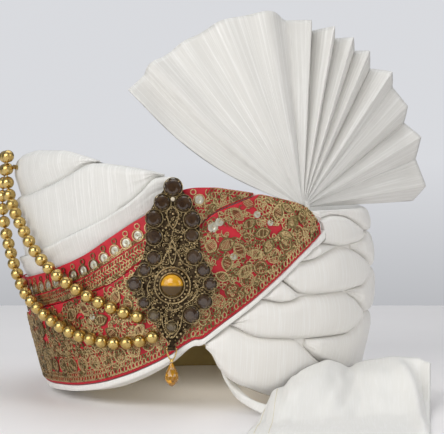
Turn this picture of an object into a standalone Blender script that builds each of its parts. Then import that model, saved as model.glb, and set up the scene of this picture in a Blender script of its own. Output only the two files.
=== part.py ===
"""Tied turban (pagri) with a brocade band, a pleated cloth fan, a kalgi brooch,
two strings of beads and a free cloth tail.

Metres, +Z up.  The front faces -Y, the wearer's left is +X.  The turban stands on
the plane Z = 0 and the origin is the middle of the bottom of its bounding box.

Places on the turban are given by a station angle, seen from above: 0 is the middle
of the front, 90 is the +X side, 180 is the middle of the back.
"""
import math

import bmesh
import bpy
from mathutils import Matrix, Vector

MM = 0.001

# Outer form of the wound turban
PEAK_HEIGHT = 161 * MM
OUTER_LEFT = 130 * MM
OUTER_RIGHT = 113.5 * MM
OUTER_FRONT = 118 * MM
OUTER_BACK = 118 * MM
ARCH_HEIGHT = 41.5 * MM

# Hollow for the head, an oval that opens out upwards
HEAD_HALF_WIDTH = 84 * MM
HEAD_HALF_DEPTH = 100 * MM
FLARE_LEFT = 0.20
FLARE_RIGHT = 0.083
FLARE_FRONT = 0.033
FLARE_BACK = -0.008
COLLAR_WALL = 2.5 * MM
COLLAR_HEIGHT = 95 * MM
CROWN_WALL = 2 * MM
CROWN_RISE = 17 * MM

# Clearance between pieces that lie on each other, and round the collar, whose curved
# face the wound cloth follows with facets of its own
GAP = 0.3 * MM
COLLAR_GAP = 0.8 * MM

# Wound cloth
PUFF_DEPTH = 7 * MM
PUFF_ROUNDING = 0.34
LAYER_STEP = 3 * MM
LEAST_HEIGHT = 1.4 * MM
BACK_FOLD_BULGE = 4 * MM

# Brocade band and the white strip that it is sewn to
BROCADE = 1.8 * MM
TIER_STEP = 1.3 * MM
PIPING = 4 * MM
PIPING_BULGE = 1.2 * MM
BACKING_SINK = 2.6 * MM

# Pleated fan, whose folds meet over the right front of the side wrap
FAN_LENGTH = 134 * MM
FAN_CLOTH = 1.2 * MM
FAN_ROOT = 6.5 * MM
FAN_KNOT = 5.7 * MM
FAN_CENTRE = Vector((0.5383 * OUTER_RIGHT, -0.6424 * OUTER_FRONT, 0.7733 * PEAK_HEIGHT))

# Strings of beads
BEAD = 8.2 * MM
BEAD_PITCH = 8.8 * MM
THREAD = 2.4 * MM
BEAD_SIDES = 10
PIN_LENGTH = 30 * MM
PIN_WIDTH = 3 * MM
PIN_THICKNESS = 1.3 * MM

# Brooch and its drop
BROOCH_HEIGHT = 103 * MM
BROOCH_ANGLE = -8.9
BROOCH_FOOT = 40.9 * MM
BROOCH_PLATE = 1.2 * MM
BROOCH_STAND = 0.15 * MM
COLLET = 1.8 * MM
COLLET_RIM = 0.45 * MM
STONE_SIDES = 8
STONE_RISE = 0.62
CLEAR_HEIGHT = 2.4 * MM
CENTRE_HEIGHT = 4.2 * MM
PEAR_HEIGHT = 2.2 * MM
CREAM_HEIGHT = 1.6 * MM
BEZEL_SIDES = 12
TUBE_LENGTH = 4.4 * MM
TUBE_RADIUS = 1.6 * MM
TUBE_BORE = 0.95 * MM
BAIL_WIRE = 0.45 * MM
BAIL_DROP = 7 * MM
DROP_LENGTH = 14.5 * MM
DROP_WIDTH = 8.8 * MM

# Free end of the cloth, laid on the table
TAIL_CLOTH = 1.6 * MM
TAIL_HUMP = 26 * MM
TAIL_WIDTH = 92 * MM
TAIL_REACH = 92 * MM
TAIL_CORNER = Vector((0.282 * OUTER_RIGHT, -1.610 * OUTER_FRONT, 0))
NECK = 4.6 * MM
NECK_SIDES = 6

# Outer form: shares of PEAK_HEIGHT and of the four outer half-widths
FORM_COLUMNS = ("height", "left", "right", "front", "back")
FORM = (
    (0.000, 0.823, 0.881, 0.966, 0.958),
    (0.093, 0.858, 0.916, 0.979, 0.975),
    (0.199, 0.892, 0.952, 0.987, 0.990),
    (0.311, 0.927, 0.987, 0.994, 1.000),
    (0.497, 0.973, 1.000, 1.000, 1.000),
    (0.776, 0.996, 0.952, 1.000, 0.950),
    (1.000, 1.000, 0.881, 0.966, 0.890),
)

# Seams: rows of station angle and height, as a share of PEAK_HEIGHT
RIM = (  # a share of ARCH_HEIGHT
    (-180, 0), (-95, 0), (-80, 0.04), (-61, 0.13), (-50, 0.17), (-37, 0.27),
    (-25, 0.44), (-17.5, 0.59), (-11, 0.75), (-6, 0.92), (-2.5, 1), (1.5, 0.88),
    (5, 0.63), (9, 0.47), (13, 0.37), (18.5, 0.29), (25, 0.19), (36, 0.08), (48, 0),
    (180, 0),
)
BAND_LOW = (
    (-180, 0.038), (-90, 0.045), (-70, 0.052), (-50, 0.067), (-37, 0.092),
    (-25, 0.133), (-17.5, 0.172), (-11, 0.213), (-1.5, 0.280), (5, 0.340),
    (14, 0.422), (24, 0.522), (31.5, 0.596), (37, 0.643), (40, 0.671), (44, 0.700),
)
BAND_TOP = (
    (-180, 0.450), (-90, 0.472), (-74, 0.478), (-57, 0.509), (-46, 0.548),
    (-37.5, 0.589), (-27, 0.670), (-21, 0.720), (-15, 0.768), (-9.5, 0.817),
    (-5.5, 0.853), (-1.5, 0.859), (3, 0.859), (8, 0.852), (15, 0.840), (24, 0.819),
    (33.5, 0.790), (37, 0.762), (40, 0.717), (44, 0.702),
)
TIER = (
    (-180, 0.300), (-90, 0.318), (-58, 0.371), (-43.5, 0.413), (-35, 0.447),
    (-29.5, 0.475), (-15, 0.600), (-1.5, 0.720), (3, 0.762), (12, 0.807),
    (18, 0.832), (24, 0.850),
)
BACKING_LOW_END = ((36, 0.612), (40, 0.637), (42.2, 0.655))
BACKING_TOP_END = ((32, 0.795), (36, 0.776), (40, 0.742), (42.2, 0.711))
LAYER_A_TOP = (
    (-180, 0.565), (-90, 0.553), (-75, 0.562), (-54.5, 0.614), (-39, 0.687),
    (-30, 0.736), (-22, 0.797), (-17.5, 0.847), (-14, 0.893), (-10, 0.898),
    (-5, 0.866),
)
LAYER_B_TOP = (
    (-180, 0.680), (-110, 0.765), (-90, 0.795), (-68, 0.816), (-52.5, 0.856),
    (-44, 0.893), (-33, 0.948), (-26.5, 0.941), (-20.5, 0.930), (-15, 0.916),
    (-12, 0.905),
)
LAYER_C_TOP = (
    (-180, 0.770), (-150, 0.810), (-120, 0.880), (-90, 0.950), (-75, 0.975),
    (-66, 0.988), (-58, 0.998), (-46, 0.998), (-38, 0.979), (-32, 0.955),
)
PUFF_7_TOP = (
    (0, 0.380), (9, 0.329), (18, 0.283), (31, 0.267), (36, 0.233), (42, 0.186),
    (48, 0.149), (54, 0.116), (60, 0.078), (64, 0.050), (68, 0.025), (72, 0.003),
    (76, 0),
)
PUFF_6_LOW = (
    (9, 0.329), (18, 0.283), (31, 0.267), (55, 0.263), (63, 0.292), (68, 0.323),
    (72, 0.335), (90, 0.329), (130, 0.323), (180, 0.317),
)
PUFF_6_TOP = (
    (12, 0.435), (19, 0.429), (25.5, 0.414), (35, 0.435), (52, 0.437), (60, 0.410),
    (66, 0.363), (70, 0.342), (72, 0.335), (90, 0.329), (130, 0.323), (180, 0.317),
)
PUFF_4_LOW = (
    (18, 0.540), (25, 0.502), (33, 0.444), (44, 0.436), (64, 0.446), (70, 0.472),
    (74, 0.497), (78, 0.516), (90, 0.509), (130, 0.497), (180, 0.491),
)
PUFF_4_TOP = (
    (25, 0.571), (33.5, 0.568), (44.5, 0.600), (53, 0.615), (62, 0.596),
    (68, 0.568), (74, 0.534), (78, 0.516), (90, 0.509), (130, 0.497), (180, 0.491),
)
PUFF_2_LOW = (
    (39, 0.638), (45, 0.630), (53, 0.618), (62, 0.624), (71, 0.647), (76, 0.666),
    (90, 0.657), (130, 0.638), (180, 0.625),
)
PUFF_2_TOP = (
    (38, 0.712), (44, 0.733), (50, 0.742), (58, 0.733), (66, 0.702), (72, 0.673),
    (76, 0.666), (90, 0.657), (130, 0.638), (180, 0.625),
)
SIDE_TOP = (
    (34, 0.758), (45, 0.763), (60, 0.762), (90, 0.762), (130, 0.768), (180, 0.770),
)

# Sections: share of the piece's height, share of the puff's or step's depth
PUFF_SECTION = ((0, 0), (0.10, 0.52), (0.32, 0.93), (0.60, 1.0), (0.86, 0.66), (1, 0))
LAYER_SECTION = ((0, 0), (0.45, 0.45), (0.85, 0.92), (0.96, 1.0), (1, 0.6))
TOP_SECTION = ((0, 0), (0.35, 0.80), (0.70, 1.0), (0.90, 0.60), (1, -0.35))

# Fan: a row for each fold, from the wearer's right to the left.  lean: degrees from
# upright towards +X; back: degrees turned back from the front; length: share of
# FAN_LENGTH; bow: how far the fold hangs below a straight line, share of FAN_LENGTH
FAN_COLUMNS = ("lean", "back", "length", "bow")
FAN_FOLDS = (
    (-56.0, 1, 1.00, 0.075),
    (-50.5, 9, 1.00, 0.040),
    (-45.5, 9, 1.00, 0.020),
    (-34.0, 14, 1.00, 0.005),
    (-21.5, 14, 1.00, 0.000),
    (-8.8, 18, 1.00, 0.000),
    (-4.0, 24, 1.00, 0.000),
    (3.8, 24, 1.00, 0.000),
    (4.4, 30, 1.00, 0.000),
    (11.3, 26, 1.00, 0.000),
    (12.5, 32, 1.00, 0.000),
    (18.3, 29, 1.00, 0.000),
    (20.4, 35, 1.00, 0.000),
    (25.2, 32, 1.00, 0.000),
    (28.5, 39, 1.00, 0.000),
    (35.8, 35, 1.00, 0.000),
    (39.5, 40, 1.00, 0.000),
    (49.0, 41, 1.00, 0.000),
    (53.6, 46, 1.00, 0.000),
    (62.4, 43, 1.00, 0.000),
    (70.2, 48, 1.00, 0.000),
    (82.5, 46, 1.00, 0.000),
    (86.5, 51, 1.00, 0.000),
)

# Brooch stones: across from the brooch's middle line, up from its foot and radius,
# as shares of BROOCH_HEIGHT
DARK_STONES = (
    (0.007, 0.945, 0.050), (-0.056, 0.856, 0.045), (0.069, 0.851, 0.046),
    (-0.107, 0.762, 0.047), (0.121, 0.756, 0.046), (-0.108, 0.652, 0.045),
    (0.119, 0.664, 0.037), (-0.108, 0.528, 0.038), (0.132, 0.537, 0.043),
    (-0.165, 0.457, 0.034), (0.187, 0.460, 0.037), (-0.227, 0.373, 0.041),
    (0.228, 0.379, 0.035), (-0.170, 0.262, 0.030), (0.193, 0.276, 0.042),
    (0.114, 0.197, 0.046),
)
CLEAR_STONE = (-0.108, 0.188, 0.034)
CENTRE_STONE = (0.000, 0.367, 0.066)
PEAR_STONE = (-0.004, 0.122, 0.030)
CREAM_CRYSTAL = (0.006, 0.876, 0.014)
BEZEL = 0.107

# Outline of the brooch's plate: share of BROOCH_HEIGHT up from the foot, and the
# half-width there, as a share of BROOCH_HEIGHT too
PLATE_OUTLINE = (
    (0.025, 0.024), (0.075, 0.062), (0.125, 0.105), (0.200, 0.138), (0.255, 0.185),
    (0.300, 0.235), (0.375, 0.268), (0.455, 0.222), (0.535, 0.176), (0.650, 0.156), (0.760, 0.160),
    (0.850, 0.112), (0.930, 0.054), (0.985, 0.028),
)

# Turned shapes: share of the length down from the top, and share of the width
DROP_PROFILE = (
    (0.00, 0.16), (0.22, 0.52), (0.45, 0.86), (0.66, 1.00), (0.86, 0.74), (1.00, 0.22),
)
STONE_PROFILE = ((0.86, 0.0), (1.0, 0.30), (0.62, 1.0))
CABOCHON_PROFILE = ((0.94, 0.0), (1.0, 0.18), (0.86, 0.58), (0.52, 0.90), (0.0, 1.0))

# Routes of the strings of beads: station angle, height and distance from the wall,
# both in millimetres, chosen by hand from the pin down to the brooch
STRAND_ROUTES = {
    "strand_inner": (
        (-74.0, 156.5, 6.3), (-75.8, 148.0, 6.2), (-76.2, 139.0, 5.8),
        (-73.5, 129.0, 5.3), (-67.5, 118.5, 5.0), (-59.5, 104.5, 5.0),
        (-53.5, 93.5, 5.2), (-46.5, 84.0, 5.4), (-39.5, 75.8, 5.4),
        (-31.5, 68.0, 5.4), (-25.0, 62.6, 5.4), (-19.0, 59.2, 5.4),
    ),
    "strand_outer": (
        (-84.5, 156.0, 6.3), (-85.0, 144.0, 7.0), (-84.5, 131.0, 8.5),
        (-83.5, 117.0, 8.5), (-81.5, 104.5, 7.2), (-76.0, 93.0, 6.2),
        (-71.0, 81.0, 5.6), (-65.0, 68.3, 5.4), (-57.0, 58.8, 5.4),
        (-49.0, 51.3, 5.4), (-41.0, 45.8, 5.4), (-33.0, 43.0, 5.4),
        (-25.6, 42.2, 5.4), (-18.0, 44.6, 5.4), (-15.0, 47.0, 5.4),
    ),
}

# Tail: neck route in millimetres, chosen by hand from inside the rim to the cloth
NECK_ROUTE = (
    (9.5, -97.0, 37), (10.8, -96.0, 29), (12.5, -94.5, 21.5), (15.5, -96.5, 15.2),
    (20, -104.5, 10.4), (25.5, -113, 7.2), (31.5, -120, 5.0), (38, -125, 3.5),
    (42, -129, 2.9),
)
NECK_COLUMNS = ("share", "width", "thickness")
NECK_SECTIONS = ((0.0, 1.0, 1.0), (0.7, 1.0, 0.9), (1.0, 2.2, 0.6))

# Tail cloth: a row for each fold across it, from the left border.  far_x and hem_x:
# share of TAIL_WIDTH; far_y: share of TAIL_REACH behind the hem; hump: height of the
# far edge, share of TAIL_HUMP
TAIL_COLUMNS = ("far_x", "far_y", "hump", "hem_x")
TAIL_FOLDS = (
    (0.05, 0.70, 0.04, -0.09),
    (0.09, 0.84, 0.35, 0.00),
    (0.20, 0.90, 0.60, 0.10),
    (0.29, 0.97, 0.86, 0.20),
    (0.47, 1.14, 1.00, 0.36),
    (0.58, 1.25, 0.90, 0.48),
    (0.67, 1.39, 0.79, 0.60),
    (0.77, 1.47, 0.90, 0.70),
    (0.91, 1.47, 0.97, 0.82),
    (1.13, 1.39, 1.00, 0.95),
    (1.20, 1.25, 0.94, 1.03),
)
TAIL_FALL = ((0.0, 1.0), (0.22, 0.80), (0.46, 0.30), (0.62, 0.04), (0.82, 0.0), (1.0, 0.0))


def smooth_value(table, place, column=1):
    """Read a column of a table at a place, on a smooth curve that never overshoots."""
    rows = table
    if place <= rows[0][0]:
        return rows[0][column]
    if place >= rows[-1][0]:
        return rows[-1][column]
    index = max(i for i in range(len(rows) - 1) if rows[i][0] <= place)

    def slope(i):
        return (rows[i + 1][column] - rows[i][column]) / (rows[i + 1][0] - rows[i][0])

    def tangent(i):
        if i == 0 or i == len(rows) - 1:
            return slope(max(i - 1, 0))
        before, after = slope(i - 1), slope(i)
        if before * after <= 0:
            return 0
        return 2 * before * after / (before + after)

    width = rows[index + 1][0] - rows[index][0]
    t = (place - rows[index][0]) / width
    start, end = rows[index][column], rows[index + 1][column]
    return (
        start * (1 + 2 * t) * (1 - t) ** 2
        + end * t * t * (3 - 2 * t)
        + width * tangent(index) * t * (1 - t) ** 2
        - width * tangent(index + 1) * t * t * (1 - t)
    )


def oval_point(angle, height, half_x, half_y, out):
    """A point of an oval at a station angle, moved outwards by out."""
    turn = math.radians(angle)
    return Vector(((half_x + out) * math.sin(turn), -(half_y + out) * math.cos(turn), height))


def wall_point(angle, height, out=0.0):
    """A point on the outer form of the turban."""
    share = height / PEAK_HEIGHT
    on_right = math.sin(math.radians(angle)) >= 0
    on_front = math.cos(math.radians(angle)) >= 0
    half_x = (OUTER_RIGHT if on_right else OUTER_LEFT)
    half_x *= smooth_value(FORM, share, FORM_COLUMNS.index("right" if on_right else "left"))
    half_y = (OUTER_FRONT if on_front else OUTER_BACK)
    half_y *= smooth_value(FORM, share, FORM_COLUMNS.index("front" if on_front else "back"))
    return oval_point(angle, height, half_x, half_y, out)


def hollow_point(angle, height, out=0.0):
    """A point on the inner face of the collar, which the head fills."""
    on_right = math.sin(math.radians(angle)) >= 0
    on_front = math.cos(math.radians(angle)) >= 0
    half_x = HEAD_HALF_WIDTH + height * (FLARE_RIGHT if on_right else FLARE_LEFT)
    half_y = HEAD_HALF_DEPTH + height * (FLARE_FRONT if on_front else FLARE_BACK)
    return oval_point(angle, height, half_x, half_y, out)


def seam(table):
    """A seam's height at a station angle."""
    return lambda angle: PEAK_HEIGHT * smooth_value(table, angle)


def rim(angle):
    """Height of the turban's lower edge."""
    return ARCH_HEIGHT * smooth_value(RIM, angle)


def backing_low(angle):
    """Lower edge of the band's white piping."""
    if angle >= BACKING_LOW_END[0][0]:
        return seam(BACKING_LOW_END)(angle)
    return max(rim(angle), seam(BAND_LOW)(angle) - PIPING)


def brocade_low(angle):
    """Lower edge of the red brocade."""
    return max(seam(BAND_LOW)(angle), backing_low(angle) + PIPING)


def backing_top(angle):
    """Upper edge of the white strip behind the brocade."""
    if angle >= BACKING_TOP_END[0][0]:
        return seam(BACKING_TOP_END)(angle)
    return seam(BAND_TOP)(angle)


def under_band(table):
    """A seam of the right side, where it runs in under the band."""
    own = seam(table)
    if_under = BACKING_LOW_END[-1][0]
    return lambda angle: min(own(angle), backing_low(angle)) if angle <= if_under else own(angle)


def higher(*tables):
    """A seam that keeps to the highest of several."""
    return lambda angle: max(seam(table)(angle) for table in tables)


def over_band(table):
    """The lower seam of the side wrap, which starts on top of the band's end."""
    own = seam(table)
    return lambda angle: backing_top(angle) if angle <= BACKING_TOP_END[-1][0] else own(angle)


def stations(start, end):
    """Station angles from start to end: close over the front, wider at the back."""
    grid = list(range(-172, -52, 8)) + list(range(-52, 80, 4)) + list(range(84, 180, 8))
    inside = [angle for angle in grid if start < angle < end]
    return [start] + inside + [end]


def paint(name, colour, roughness, metallic=0.0, transmission=0.0):
    """A plain Principled material."""
    material = bpy.data.materials.new(name)
    material.use_nodes = True
    shader = material.node_tree.nodes["Principled BSDF"]
    shader.inputs["Base Color"].default_value = (*colour, 1)
    shader.inputs["Roughness"].default_value = roughness
    shader.inputs["Metallic"].default_value = metallic
    shader.inputs["Transmission Weight"].default_value = transmission
    material.diffuse_color = (*colour, 1)
    return material


def add_object(name, work, material, sharp=40):
    """Turn a bmesh into a named object, with its faces pointing out."""
    bmesh.ops.recalc_face_normals(work, faces=work.faces)
    bmesh.ops.triangulate(work, faces=[face for face in work.faces if len(face.verts) > 4])
    mesh = bpy.data.meshes.new(name)
    work.to_mesh(mesh)
    work.free()
    mesh.shade_smooth()
    mesh.set_sharp_from_angle(angle=math.radians(sharp))
    mesh.materials.append(material)
    item = bpy.data.objects.new(name, mesh)
    bpy.context.scene.collection.objects.link(item)
    return item


def skin_rings(work, rings, ring_closed=False):
    """Join rings of equally many points into one closed skin.

    The last strip of each section is split the other way, so that the top of one
    piece of cloth and the bottom of the next have the same facets.
    """
    rows = [[work.verts.new(point) for point in ring] for ring in rings]
    count = len(rows[0])
    pairs = list(zip(rows, rows[1:] + rows[:1])) if ring_closed else list(zip(rows, rows[1:]))
    for row, following in pairs:
        for i in range(count - 1):
            work.faces.new((row[i], row[i + 1], following[i + 1]))
            work.faces.new((row[i], following[i + 1], following[i]))
        work.faces.new((row[-1], row[0], following[-1]))
        work.faces.new((row[0], following[0], following[-1]))
    if not ring_closed:
        work.faces.new(rows[0])
        work.faces.new(list(reversed(rows[-1])))


def loft(name, rings, material, ring_closed=False, sharp=40):
    """One solid through a list of sections."""
    work = bmesh.new()
    skin_rings(work, rings, ring_closed)
    return add_object(name, work, material, sharp)


def wrap(name, start, end, low, high, section, depth, material, crest=0.0, depth_share=None):
    """A padded strip of wound cloth between two seams."""
    rings = []
    for angle in stations(start, end):
        bottom = low(angle) + GAP / 2
        height = max(high(angle) - GAP / 2 - bottom, LEAST_HEIGHT)
        swell = depth if depth_share is None else min(depth, height * depth_share)
        outer = [
            wall_point(angle, bottom + share * height, crest - depth + swell * rise)
            for share, rise in section
        ]
        inner = [
            hollow_point(angle, bottom + height, COLLAR_WALL + COLLAR_GAP),
            hollow_point(angle, bottom, COLLAR_WALL + COLLAR_GAP),
        ]
        rings.append(outer + inner)
    return loft(name, rings, material)


def build_collar(material):
    """The stiff band inside the turban, open below and above."""
    angles = list(range(-172, 180, 8)) + [180]
    rings = [
        [
            hollow_point(angle, rim(angle)),
            hollow_point(angle, rim(angle), COLLAR_WALL),
            hollow_point(angle, COLLAR_HEIGHT, COLLAR_WALL),
            hollow_point(angle, COLLAR_HEIGHT),
        ]
        for angle in angles
    ]
    return loft("base_collar", rings, material, ring_closed=True, sharp=30)


def build_crown(material):
    """The thin domed cloth that closes the top, seated on the collar."""
    work = bmesh.new()
    seat = COLLAR_HEIGHT + GAP
    angles = list(range(-180, 180, 20))
    reaches = (1.0, 0.86, 0.62, 0.32)

    def ring(reach, lift):
        points = []
        for angle in angles:
            edge = hollow_point(angle, seat, COLLAR_WALL - GAP)
            rise = CROWN_RISE * (1 - reach ** 2)
            points.append(Vector((edge.x * reach, edge.y * reach, seat + rise + lift)))
        return [work.verts.new(point) for point in points]

    rows = [ring(reach, 0.0) for reach in reversed(reaches)]
    rows += [ring(reach, CROWN_WALL) for reach in reaches]
    count = len(angles)
    for row, following in zip(rows, rows[1:]):
        for i in range(count):
            j = (i + 1) % count
            work.faces.new((row[i], row[j], following[j], following[i]))
    for row, lift in ((rows[0], 0.0), (rows[-1], CROWN_WALL)):
        tip = work.verts.new((0, 0, seat + CROWN_RISE + lift))
        for i in range(count):
            work.faces.new((row[i], row[(i + 1) % count], tip))
    return add_object("crown_cap", work, material)


def build_backing(material):
    """The white strip that carries the brocade; its folded edge is the piping."""
    rings = []
    for angle in stations(-172, BACKING_LOW_END[-1][0]):
        low, top = backing_low(angle) + GAP / 2, backing_top(angle) - 2 * GAP
        ledge = max(brocade_low(angle) - GAP, low + PIPING / 2)
        ledge = min(ledge, top - 2 * GAP)
        rings.append([
            wall_point(angle, low, -BROCADE),
            wall_point(angle, (low + ledge) / 2, PIPING_BULGE),
            wall_point(angle, ledge, PIPING_BULGE * 0.4),
            wall_point(angle, ledge + GAP, -BACKING_SINK),
            wall_point(angle, top, -BACKING_SINK),
            hollow_point(angle, top, COLLAR_WALL + COLLAR_GAP),
            hollow_point(angle, low, COLLAR_WALL + COLLAR_GAP),
        ])
    return loft("band_backing", rings, material)


def build_brocade(name, start, end, low, high, lift, material):
    """One tier of the brocade, a thick stiff skin on the backing."""
    rings = []
    inner = -BACKING_SINK + GAP
    for angle in stations(start, end):
        bottom = low(angle) + GAP
        top = max(high(angle) - GAP, bottom + LEAST_HEIGHT)
        outer = inner + BROCADE + lift
        rings.append([
            wall_point(angle, bottom, outer),
            wall_point(angle, (bottom + top) / 2, outer),
            wall_point(angle, top, outer),
            wall_point(angle, top, inner),
            wall_point(angle, bottom, inner),
        ])
    return loft(name, rings, material)


def build_band(red, white):
    """The backing with both tiers of the brocade."""
    build_backing(white)
    top = seam(BAND_TOP)
    tier = seam(TIER)
    build_brocade("band_lower", -172, 40, brocade_low, lambda angle: min(tier(angle), top(angle)),
                  TIER_STEP, red)
    build_brocade("band_upper", -172, 16, tier, top, 0.0, red)


def build_wraps(white):
    """All the wound layers: flat ones on the front left, puffed ones on the right."""
    layer = dict(section=LAYER_SECTION, depth=LAYER_STEP, material=white)
    wrap("wrap_low", -172, -8, backing_top, seam(LAYER_A_TOP), **layer)
    wrap("wrap_middle", -172, -16, seam(LAYER_A_TOP), seam(LAYER_B_TOP), **layer)
    wrap("wrap_upper", -172, -36, seam(LAYER_B_TOP), seam(LAYER_C_TOP), TOP_SECTION,
         LAYER_STEP, white)

    puff = dict(section=PUFF_SECTION, depth=PUFF_DEPTH, material=white,
                depth_share=PUFF_ROUNDING)
    band_end = BACKING_LOW_END[-1][0] + 0.3
    low_7 = lambda angle: max(rim(angle), seam(PUFF_7_TOP)(angle))
    wrap("puff_lowest", 0, 68, rim, under_band(PUFF_7_TOP), **puff)
    wrap("puff_low", 12, 68, higher(PUFF_6_LOW, PUFF_7_TOP), under_band(PUFF_6_TOP), **puff)
    wrap("wedge_low", 20, 32, seam(PUFF_6_TOP), under_band(PUFF_4_LOW), **puff)
    wrap("puff_middle", 28, 76, higher(PUFF_4_LOW, PUFF_6_TOP), under_band(PUFF_4_TOP), **puff)
    wrap("wedge_high", 36, 48, seam(PUFF_4_TOP), under_band(PUFF_2_LOW), **puff)
    wrap("puff_high", band_end, 72, seam(PUFF_2_LOW), seam(PUFF_2_TOP), **puff)

    side = dict(puff, crest=0.5 * MM)
    wrap("side_wrap_1", 36, 172, low_7, seam(PUFF_6_LOW), **side)
    wrap("side_wrap_2", 56, 172, seam(PUFF_6_TOP), seam(PUFF_4_LOW), **side)
    wrap("side_wrap_3", 60, 172, seam(PUFF_4_TOP), seam(PUFF_2_LOW), **side)
    wrap("side_wrap_4", 40, 172, over_band(PUFF_2_TOP), seam(SIDE_TOP), **side)


def build_back_fold(white):
    """The upright fold of cloth that covers where both sides meet at the back."""
    rings = []
    spread = ((172.3, -0.6), (175, 0.7), (180, 1.0), (185, 0.7), (187.7, -0.6))
    height = PEAK_HEIGHT * SIDE_TOP[-1][1]
    for angle, bulge in spread:
        points = [
            wall_point(angle, share * height, BACK_FOLD_BULGE * bulge * swell)
            for share, swell in ((0, 0.5), (0.08, 0.9), (0.5, 1.0), (0.92, 0.9), (1, 0.4))
        ]
        points.append(hollow_point(angle, height, COLLAR_WALL + COLLAR_GAP))
        points.append(hollow_point(angle, 0, COLLAR_WALL + COLLAR_GAP))
        rings.append(points)
    return loft("back_fold", rings, white)


def fan_direction(lean, back):
    """Direction of a fold of the fan."""
    side, turn = math.radians(lean), math.radians(back)
    return Vector((math.sin(side) * math.cos(turn), math.sin(turn),
                   math.cos(side) * math.cos(turn)))


def build_fan(white):
    """The pleated fan: one folded sheet that opens from the knot."""
    reaches = (FAN_ROOT / FAN_LENGTH, 0.30, 0.65, 1.0)
    sheet = []
    for lean, back, length, bow in FAN_FOLDS:
        way = fan_direction(lean, back)
        row = []
        for reach in reaches:
            sag = Vector((-0.55, 0, -0.83)) * bow * FAN_LENGTH * math.sin(math.pi * reach)
            row.append(FAN_CENTRE + way * FAN_LENGTH * length * reach + sag)
        sheet.append(row)

    columns, rows = len(sheet), len(reaches)
    face_normals = {}
    for i in range(columns - 1):
        for j in range(rows - 1):
            a, b, c, d = sheet[i][j], sheet[i + 1][j], sheet[i + 1][j + 1], sheet[i][j + 1]
            face_normals[i, j] = (c - a).cross(d - b).normalized()

    def offset(i, j):
        around = [face_normals[key] for key in ((i - 1, j - 1), (i - 1, j), (i, j - 1), (i, j))
                  if key in face_normals]
        mean = sum(around, Vector()).normalized()
        cosine = max(min(mean.dot(normal) for normal in around), 0.6)
        taper = 0.35 + 0.65 * min(reaches[j] / 0.30, 1.0)
        return mean * (FAN_CLOTH * taper / 2 / cosine)

    work = bmesh.new()
    front = [[work.verts.new(sheet[i][j] + offset(i, j)) for j in range(rows)]
             for i in range(columns)]
    rear = [[work.verts.new(sheet[i][j] - offset(i, j)) for j in range(rows)]
            for i in range(columns)]
    for i in range(columns - 1):
        for j in range(rows - 1):
            work.faces.new((front[i][j], front[i + 1][j], front[i + 1][j + 1], front[i][j + 1]))
            work.faces.new((rear[i][j], rear[i][j + 1], rear[i + 1][j + 1], rear[i + 1][j]))
        for j in (0, rows - 1):
            work.faces.new((front[i][j], front[i + 1][j], rear[i + 1][j], rear[i][j]))
    for j in range(rows - 1):
        for i in (0, columns - 1):
            work.faces.new((front[i][j], front[i][j + 1], rear[i][j + 1], rear[i][j]))
    add_object("fan", work, white, sharp=25)

    knot = bmesh.new()
    bmesh.ops.create_uvsphere(knot, u_segments=10, v_segments=6, radius=FAN_KNOT)
    bmesh.ops.translate(knot, verts=knot.verts, vec=FAN_CENTRE)
    add_object("fan_knot", knot, white)


def spline_points(route, step):
    """Points at even steps, about step long, on a smooth curve through the route."""
    dense = []
    last = len(route) - 1
    for i in range(last):
        before = route[max(i - 1, 0)]
        start, end = route[i], route[i + 1]
        after = route[min(i + 2, last)]
        for k in range(20):
            t = k / 20
            dense.append(0.5 * (
                2 * start + (end - before) * t
                + (2 * before - 5 * start + 4 * end - after) * t * t
                + (3 * start - before - 3 * end + after) * t ** 3
            ))
    dense.append(route[-1])
    whole = sum((end - start).length for start, end in zip(dense, dense[1:]))
    count = max(int(whole / step), 2)
    points, travelled = [dense[0]], 0.0
    for start, end in zip(dense, dense[1:]):
        length = (end - start).length
        while len(points) < count and travelled + length >= whole * len(points) / count:
            reached = whole * len(points) / count - travelled
            points.append(start.lerp(end, reached / length))
        travelled += length
    return points + [dense[-1]]


def sweep_rings(centres, sizes, sides, first_side):
    """Rings of points round a path, carried along it without twist."""
    rings = []
    side = first_side
    last = len(centres) - 1
    for i, centre in enumerate(centres):
        ahead = (centres[min(i + 1, last)] - centres[max(i - 1, 0)]).normalized()
        side = (side - ahead * side.dot(ahead)).normalized()
        other = ahead.cross(side)
        width, thickness = sizes[i]
        rings.append([
            centre + side * width * math.cos(turn) + other * thickness * math.sin(turn)
            for turn in (2 * math.pi * k / sides for k in range(sides))
        ])
    return rings


def build_strand(name, route, gold):
    """A string of round beads, turned as one solid along its route."""
    places = [wall_point(angle, height * MM, out * MM) for angle, height, out in route]
    beads = spline_points(places, BEAD_PITCH)
    radius = BEAD / 2
    lap = math.radians(40)
    centres, sizes = [], []
    for i, bead in enumerate(beads):
        ahead = (beads[min(i + 1, len(beads) - 1)] - beads[max(i - 1, 0)]).normalized()
        if i == 0:
            centres.append(bead - ahead * radius * 0.96)
            sizes.append((THREAD / 2, THREAD / 2))
        for turn in (-lap, 0.0, lap):
            centres.append(bead + ahead * radius * math.sin(turn))
            sizes.append((radius * math.cos(turn), radius * math.cos(turn)))
        if i == len(beads) - 1:
            centres.append(bead + ahead * radius * 0.96)
        else:
            centres.append((bead + beads[i + 1]) / 2)
        sizes.append((THREAD / 2, THREAD / 2))
    rings = sweep_rings(centres, sizes, BEAD_SIDES, Vector((0, 0, 1)).cross(centres[1] - centres[0]))
    return loft(name, rings, gold, sharp=80)


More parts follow.
